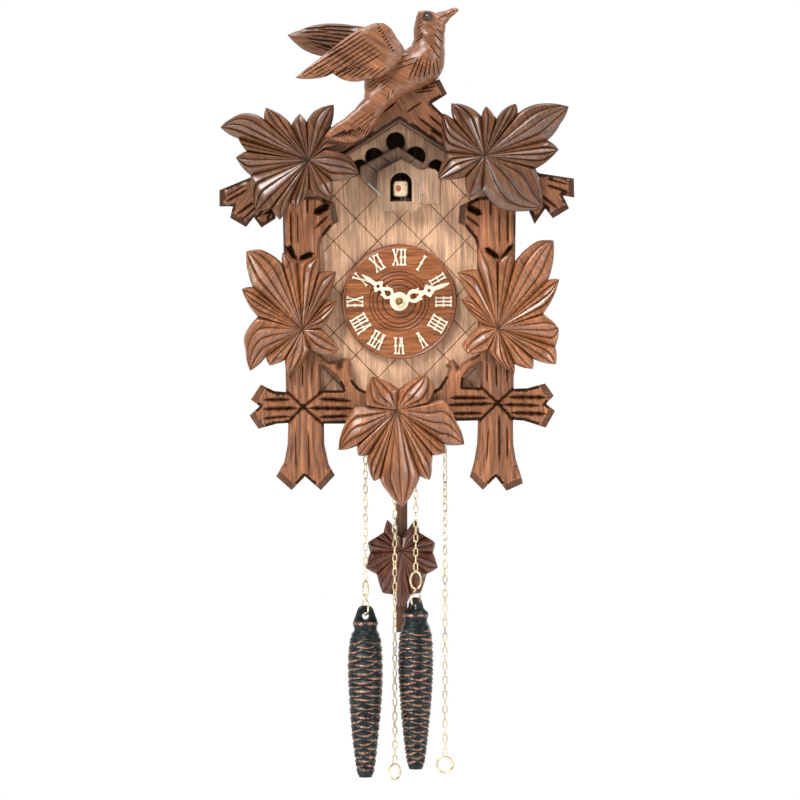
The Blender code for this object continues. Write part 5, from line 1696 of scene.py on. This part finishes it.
def make_hook(side, metal):
    """Bent wire: an open hook through the cone's eye and a closed loop above it."""
    shape = WEIGHTS[side]

    def spot(out, z, degrees):
        angle = math.radians(degrees)
        return (shape["x"] + out * math.sin(angle), CHAIN_Y - out * math.cos(angle), z)
    turn = shape["hook_turn"]
    middle = shape["top"] - EYE_DROP + 0.6 + HOOK_BEND
    points = [spot(-HOOK_BEND + 0.2, middle + shape["hook_rise"], turn),
              spot(-HOOK_BEND, middle + shape["hook_rise"] * 0.5, turn)]
    for i in range(9):
        angle = math.radians(180 - 22.5 * i)
        points.append(spot(HOOK_BEND * math.cos(angle),
                           middle - HOOK_BEND * math.sin(angle), turn))
    points.append(spot(HOOK_BEND - 0.3, middle + 2.6, turn))
    wide, tall = 3.9, shape["loop_half"]
    centre = shape["loop_top"] - 0.7 - tall
    points.append(spot(1.3, centre - tall - 1.9, shape["loop_turn"]))
    for i in range(15):
        angle = math.radians(-86 + 24.5 * i)
        points.append(spot(wide * math.cos(angle), centre + tall * math.sin(angle),
                           shape["loop_turn"]))
    wire(side + "_hook_bent", rounded(points, parts=3), 0.7, metal, side + "_drive_weight",
         "chain_brass", (side + "_hook",), sides=12)


def make_ring(side, metal):
    """A cast pull ring with faint flats from the hammer."""
    x, z, seed = (RINGS[side][key] for key in ("x", "z", "seed"))
    turn = math.radians(RINGS[side]["turn"])
    c, s = math.cos(turn), math.sin(turn)
    verts = []
    around, sides = 96, 14
    for i in range(around):
        a = 2 * math.pi * i / around
        flat = 0.12 * math.cos(9 * a + seed) + 0.07 * math.sin(5 * a + 2 * seed)
        for k in range(sides):
            b = 2 * math.pi * k / sides
            r = 5.6 + flat * 0.6 + (0.78 + 0.3 * flat) * math.cos(b)
            side_y = (0.78 - 0.2 * flat) * math.sin(b)
            u = r * math.cos(a)
            verts.append((x + u * c - side_y * s, CHAIN_Y + u * s + side_y * c,
                          z + r * math.sin(a) * 0.985))
    faces = strip_faces(around, sides, True)
    own(new_piece(side + "_pull_ring", verts, faces, metal, sharp=60), side + "_pull",
        "chain_brass", side + "_ring")


# ---------------------------------------------------------------- pine-cone weights

# Radii and heights below the cone's top, and half the outline of the flat lobe on it.
CONE_BODY = [(0.0, -10.4), (4.0, -10.6), (7.6, -11.1), (8.7, -11.9), (8.75, -12.9),
             (8.3, -14.2), (7.9, -15.6), (7.8, -17.0), (8.5, -18.2), (10.1, -20.6)]
CONE_FLANK = [(10.1, -20.6), (11.0, -26), (11.7, -33), (12.0, -42), (11.9, -52),
              (11.4, -62), (10.6, -74), (9.6, -85), (8.5, -96), (7.0, -108),
              (5.9, -115), (5.2, -119.1)]
CONE_LOBE = [(3.0, -0.35), (4.6, -1.4), (5.5, -3.0), (6.2, -5.2), (7.0, -7.6),
             (7.9, -9.9), (8.5, -11.8), (7.4, -13.2)]
SCALE_TALL = 6.1                # height of one row of scales


def scale_swell(turns, height, lean):
    """How far the cast scales stand out, between 0 and 1, at one height."""
    best = np.zeros(len(turns))
    for shift in (0, 1):
        a = (turns + lean + shift * math.pi / 4 + math.pi / 4) % (math.pi / 2) - math.pi / 4
        wobble = 0.35 * np.sin(3 * turns + height * 0.9 + shift)
        lip = height - 1.7 * (1 - np.cos(a * 1.9)) + wobble
        t = ((-lip / SCALE_TALL) + shift * 0.5) % 1.0
        rise = np.clip(t / 0.80, 0, 1) ** 2.2
        fall = np.clip((1 - t) / 0.14, 0, 1)
        width = np.clip(np.cos(a * 1.85), 0, 1) ** 0.45
        best = np.maximum(best, np.minimum(rise, fall) * (0.35 + 0.65 * width))
    return best


def make_cone(side, metal):
    """The ribbed iron cone: turned scales, and the flat lobe with the eye on its top."""
    shape = WEIGHTS[side]
    top, lean = shape["top"], shape["scale_turn"]
    profile = list(CONE_BODY)
    heights = np.arange(-20.9, -118.9, -0.42)
    flank = np.array(CONE_FLANK)
    radii = np.interp(-heights, -flank[:, 1], flank[:, 0])
    profile += [(float(r), float(h)) for r, h in zip(radii, heights)]
    profile += [(4.9, -119.3), (3.0, -119.5), (0.0, -119.6)]

    def bumps(turns, radius, height):
        if height > -20.7:
            ridge = math.exp(-((height + 12.4) / 0.9) ** 2)
            uneven = 0.12 * np.sin(5 * turns + height) + 0.1 * np.sin(9 * turns)
            return radius + uneven, np.full(len(turns), height), \
                np.clip(0.35 + 0.6 * ridge + uneven, 0, 1)
        fade = float(ease(height, -119.4, -115)) * float(ease(-height, 20.5, 24))
        swell = scale_swell(turns, height, lean) * max(fade, 0.15)
        rough = 0.10 * np.sin(7 * turns + height * 1.3) * np.sin(height * 2.1)
        grow = radius - 0.75 + 1.30 * swell + rough
        return grow, np.full(len(turns), height), np.clip(swell ** 1.5 + 0.5 * rough, 0, 1)
    lathe(side + "_cone", profile, (shape["x"], CHAIN_Y, top), metal,
          side + "_drive_weight", "cone_iron", (side + "_weight",), steps=112, axis="Z",
          shape=bumps, sharp=60)
    outline = [(0.0, 0.0)] + CONE_LOBE + [(-x, z) for x, z in CONE_LOBE[::-1]]
    eye = circle(0, -EYE_DROP, 2.35, 28)

    def half(points, edge):
        """How far the lobe's face stands from its middle plane, and its tone."""
        deep = 2.0 + 5.6 * ease(-points[:, 1], 6.5, 13.0)
        deep = np.minimum(deep, np.sqrt(np.clip(8.7 ** 2 - points[:, 0] ** 2, 0.2, None)))
        rim = np.sqrt(np.clip(edge / 1.3, 0, 1) * (2 - np.clip(edge / 1.3, 0, 1)))
        eye_rim = groove(np.hypot(points[:, 0], points[:, 1] + EYE_DROP) - 2.35, 1.6)
        uneven = 0.08 * ripple(points, 1.6, lean)
        return deep * (0.45 + 0.55 * rim) - 0.15 * eye_rim + uneven * rim, \
            np.clip(0.25 + 0.5 * (1 - rim) * (points[:, 1] > -4) + 0.2 * uneven, 0, 1)

    def front(points, edge):
        deep, tone = half(points, edge)
        return -deep, tone
    lobe = carve(side + "_cone_eye", [bowed(outline, 0.03, 0.8), eye], 0.7, front, half,
                 metal, sharp=60)
    turn = math.radians(shape["cone_turn"])
    matrix = Matrix.Translation((shape["x"] * MM, CHAIN_Y * MM, top * MM)) \
        @ Matrix.Rotation(turn, 4, "Z")
    lobe.data.transform(matrix)
    own(lobe, side + "_drive_weight", "cone_iron", side + "_weight")


def make_drives():
    chain = make_metal("chain_wire", (0.50, 0.40, 0.20), (0.88, 0.78, 0.52), 0.26)
    ring_metal = make_metal("ring_brass", (0.42, 0.34, 0.19), (0.85, 0.74, 0.50), 0.26)
    iron = make_cone_metal()
    for side, weight in WEIGHTS.items():
        make_chain(side + "_weight_links", side + "_drive_weight", side + "_weight_chain",
                   weight["x"], WEIGHT_RUN_TOP, weight["loop_top"] - LINK_WIRE,
                   weight["twist"], chain)
    for side, ring in RINGS.items():
        make_chain(side + "_ring_links", side + "_pull", side + "_ring_chain",
                   ring["x"], RING_RUN_TOP, ring["z"] + RING_REACH, ring["twist"], chain)
    for make, metal in ((make_hook, ring_metal), (make_ring, ring_metal), (make_cone, iron)):
        make("left", metal)
        make("right", metal)


# ---------------------------------------------------------------- pendulum

PENDULUM_LEAF = [(0, -164), (3.6, -159), (9.9, -150.8), (12.5, -160), (17.2, -163),
                 (23.4, -166.9), (21.8, -174), (25.2, -184.5), (17.3, -189),
                 (13.2, -202), (6.5, -203), (1.9, -211.8)]


def make_pendulum():
    """A carved leaf on a flat lath."""
    front, rear = depths("pendulum_leaf")
    outline = [(1.6 + u, v) for u, v in PENDULUM_LEAF] + \
              [(1.6 - u, v) for u, v in PENDULUM_LEAF[:0:-1]]
    wood = make_wood("pendulum_wood", PENDULUM_BROWN, 0.1, 0.24, 0.4, 900, 0.8)
    leaf = leaf_mesh("pendulum_leaf_carving", outline, (1.6, -173), front, rear, wood,
                     1.0, 0.03)
    own(leaf, "pendulum_bob", "carved_walnut", "pendulum_leaf")
    low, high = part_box("pendulum_rod")
    loop = [(low.x / MM, low.z / MM), (high.x / MM, low.z / MM),
            (high.x / MM, high.z / MM), (low.x / MM, high.z / MM)]

    def lath_face(points, edge):
        return low.y / MM + 0.25 * groove(edge, 0.5) + 0.03 * ripple(points, 3, 1), \
            np.clip(0.75 - 0.4 * groove(edge, 0.6), 0, 1)
    lath_wood = make_wood("lath_wood", LATH_BROWN, 0, 0.4, 0.1, 900, 0.6)
    lath = carve("pendulum_lath", [bowed(loop, 0, 1.6)], 1.6, lath_face, high.y / MM,
                 lath_wood)
    own(lath, "pendulum", "carved_walnut", "pendulum_rod")


# ---------------------------------------------------------------- the box and what is in it

def bevelled(name, loop, low, high, upright, step, bevel, material, body, slot, node,
             holes=()):
    """A board with eased edges, from its outline and its two limits along one axis.

    upright is "Y" for a board that faces the front and "Z" for one that lies flat.
    """
    def skin(side):
        def face(points, edge):
            near = np.clip(1 - edge / bevel, 0, 1)
            drop = bevel * (1 - np.sqrt(np.clip(1 - near ** 2, 0, 1)))
            level = low + drop if side < 0 else high - drop
            return level + 0.02 * ripple(points, 9, side), \
                np.clip(0.8 - 0.25 * near, 0, 1)
        return face
    loops = [bowed(loop, 0, step)] + [bowed(hole, 0, 1.5) for hole in holes]
    piece = carve(name, loops, step, skin(-1), skin(1), material)
    if upright == "Z":
        move_points(piece, lambda spots: spots[:, [0, 2, 1]])
        piece.data.flip_normals()
    own(piece, body, slot, node)


def make_panels():
    """Back, sides and floor of the case."""
    pine = make_wood("back_pine", BACK_PINE, 0, 0.5, 0.05, 380, 0.5)
    side_wood = make_wood("side_wood", SIDE_BROWN, 0, 0.42, 0.15, 420, 0.6)
    eave = roof_at(CASE_HALF) - 0.5
    back = [(-CASE_HALF, CASE_LOW), (CASE_HALF, CASE_LOW), (CASE_HALF, eave),
            (0, ROOF_TOP - 0.5), (-CASE_HALF, eave)]
    bevelled("back_panel", back, -4, -0.03, "Y", 3.0, 0.6, pine, "case", "pine_box",
             "back_board", holes=[circle(0, 60, 5, 28)])
    inner_eave = roof_at(58) - 0.5
    for name, side in (("left_side", -1), ("right_side", 1)):
        loop = [(side * 58, -68.7), (side * 61.9, -68.7), (side * 61.9, eave),
                (side * 58, inner_eave)]
        bevelled(name + "_panel", loop, -86, -4.3, "Y", 1.3, 0.5, side_wood, "case",
                 "carved_walnut", name)
    floor = [(-CASE_HALF, -86), (CASE_HALF, -86), (CASE_HALF, -4.3), (-CASE_HALF, -4.3)]
    slots = [[(-30, -57), (38, -57), (38, -43), (-30, -43)],
             [(-20, -34), (22, -34), (22, -20), (-20, -20)]]
    bevelled("floor_panel", floor, CASE_LOW, CASE_LOW + 5, "Z", 3.0, 0.7, side_wood, "case",
             "carved_walnut", "bottom_board", holes=slots)


def make_roof():
    """Two boards that meet at the ridge, with their grain down the slope."""
    slope = math.degrees(math.atan(ROOF_SLOPE))
    for name, side in (("left_roof", -1), ("right_roof", 1)):
        grain_turn = math.radians(90 - side * slope)
        wood = make_wood(name + "_wood", ROOF_BROWN, grain_turn, 0.34, 0.3, 420, 0.6)
        ridge, end = 0.02 * side, 92.0 * side
        loop = [(ridge, roof_at(ridge)), (end, roof_at(end)), (end, roof_at(end) + 5.9),
                (ridge, roof_at(ridge) + 5.9)]
        bevelled(name + "_board", loop, -106, -0.03, "Y", 1.4, 0.9, wood, "case",
                 "carved_walnut", name)


def make_bellows():
    """Each whistle box with the lid and the paper fold of its bellows on top."""
    pine = make_wood("whistle_pine", WHISTLE_PINE, 0, 0.55, 0.0, 380, 0.5)
    paper = make_paint("bellows_paper", (0.62, 0.56, 0.44), (0.78, 0.72, 0.60), 0.75, 400)
    for side, sign in (("left", -1), ("right", 1)):
        inner, outer = sorted((sign * 40.5, sign * 57.6))
        middle = (inner + outer) / 2
        loop = [(inner, -66), (outer, -66), (outer, 48), (inner, 48)]
        mouth = [(middle - 4, -20), (middle + 4, -20), (middle + 4, -13), (middle - 4, -13)]
        bevelled(side + "_whistle_box", loop, -82, -38, "Y", 2.6, 0.5, pine, "case",
                 "pine_box", side + "_whistle", holes=[mouth])
        lid = [(inner, -82), (outer, -82), (outer, -38), (inner, -38)]
        bevelled(side + "_bellows_board", lid, 48.9, 51.5, "Z", 2.2, 0.5, pine,
                 side + "_bellows", "pine_box", side + "_bellows_lid")
        fold = [(inner + 0.5, -81.4), (outer - 0.5, -81.4), (outer - 0.5, -38.6),
                (inner + 0.5, -38.6)]
        bevelled(side + "_bellows_fold", fold, 48.3, 48.9, "Z", 2.2, 0.25, paper,
                 side + "_bellows", "pine_box", side + "_bellows_lid")


def finish_works():
    """Brass and steel for the movement inside."""
    plate = make_metal("plate_brass", (0.55, 0.38, 0.15), (0.80, 0.60, 0.28), 0.28)
    steel = make_metal("works_steel", (0.28, 0.28, 0.28), (0.52, 0.52, 0.51), 0.30)
    for node, metal in (
            ("movement_front_plate", plate), ("movement_back_plate", plate),
            ("left_chain_wheel", plate), ("right_chain_wheel", plate),
            ("escape_wheel", plate), ("hour_wheel", plate), ("centre_arbor", plate),
            ("gong_post", plate), ("anchor", steel), ("crutch", steel),
            ("pendulum_leader", steel), ("gong", steel), ("hammer_pin", steel),
            ("strike_hammer", steel)):
        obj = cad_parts[node]
        obj.data.materials.clear()
        obj.data.materials.append(metal)


make_camera()
make_world()
make_lamps()
make_floor()
make_leaves()
make_posts()
make_branches()
make_bird()
make_bird_eye()
make_board()
make_house()
make_door_leaf()
bright_wire = make_metal("bright_wire", (0.42, 0.43, 0.43), (0.80, 0.81, 0.80), 0.22)
make_hinge(bright_wire)
make_latch(bright_wire)
make_cuckoo_head()
make_cuckoo_wires(bright_wire)
make_dial()
make_numerals()
make_hands()
make_nut()
make_drives()
make_pendulum()
make_panels()
make_roof()
make_bellows()
finish_works()
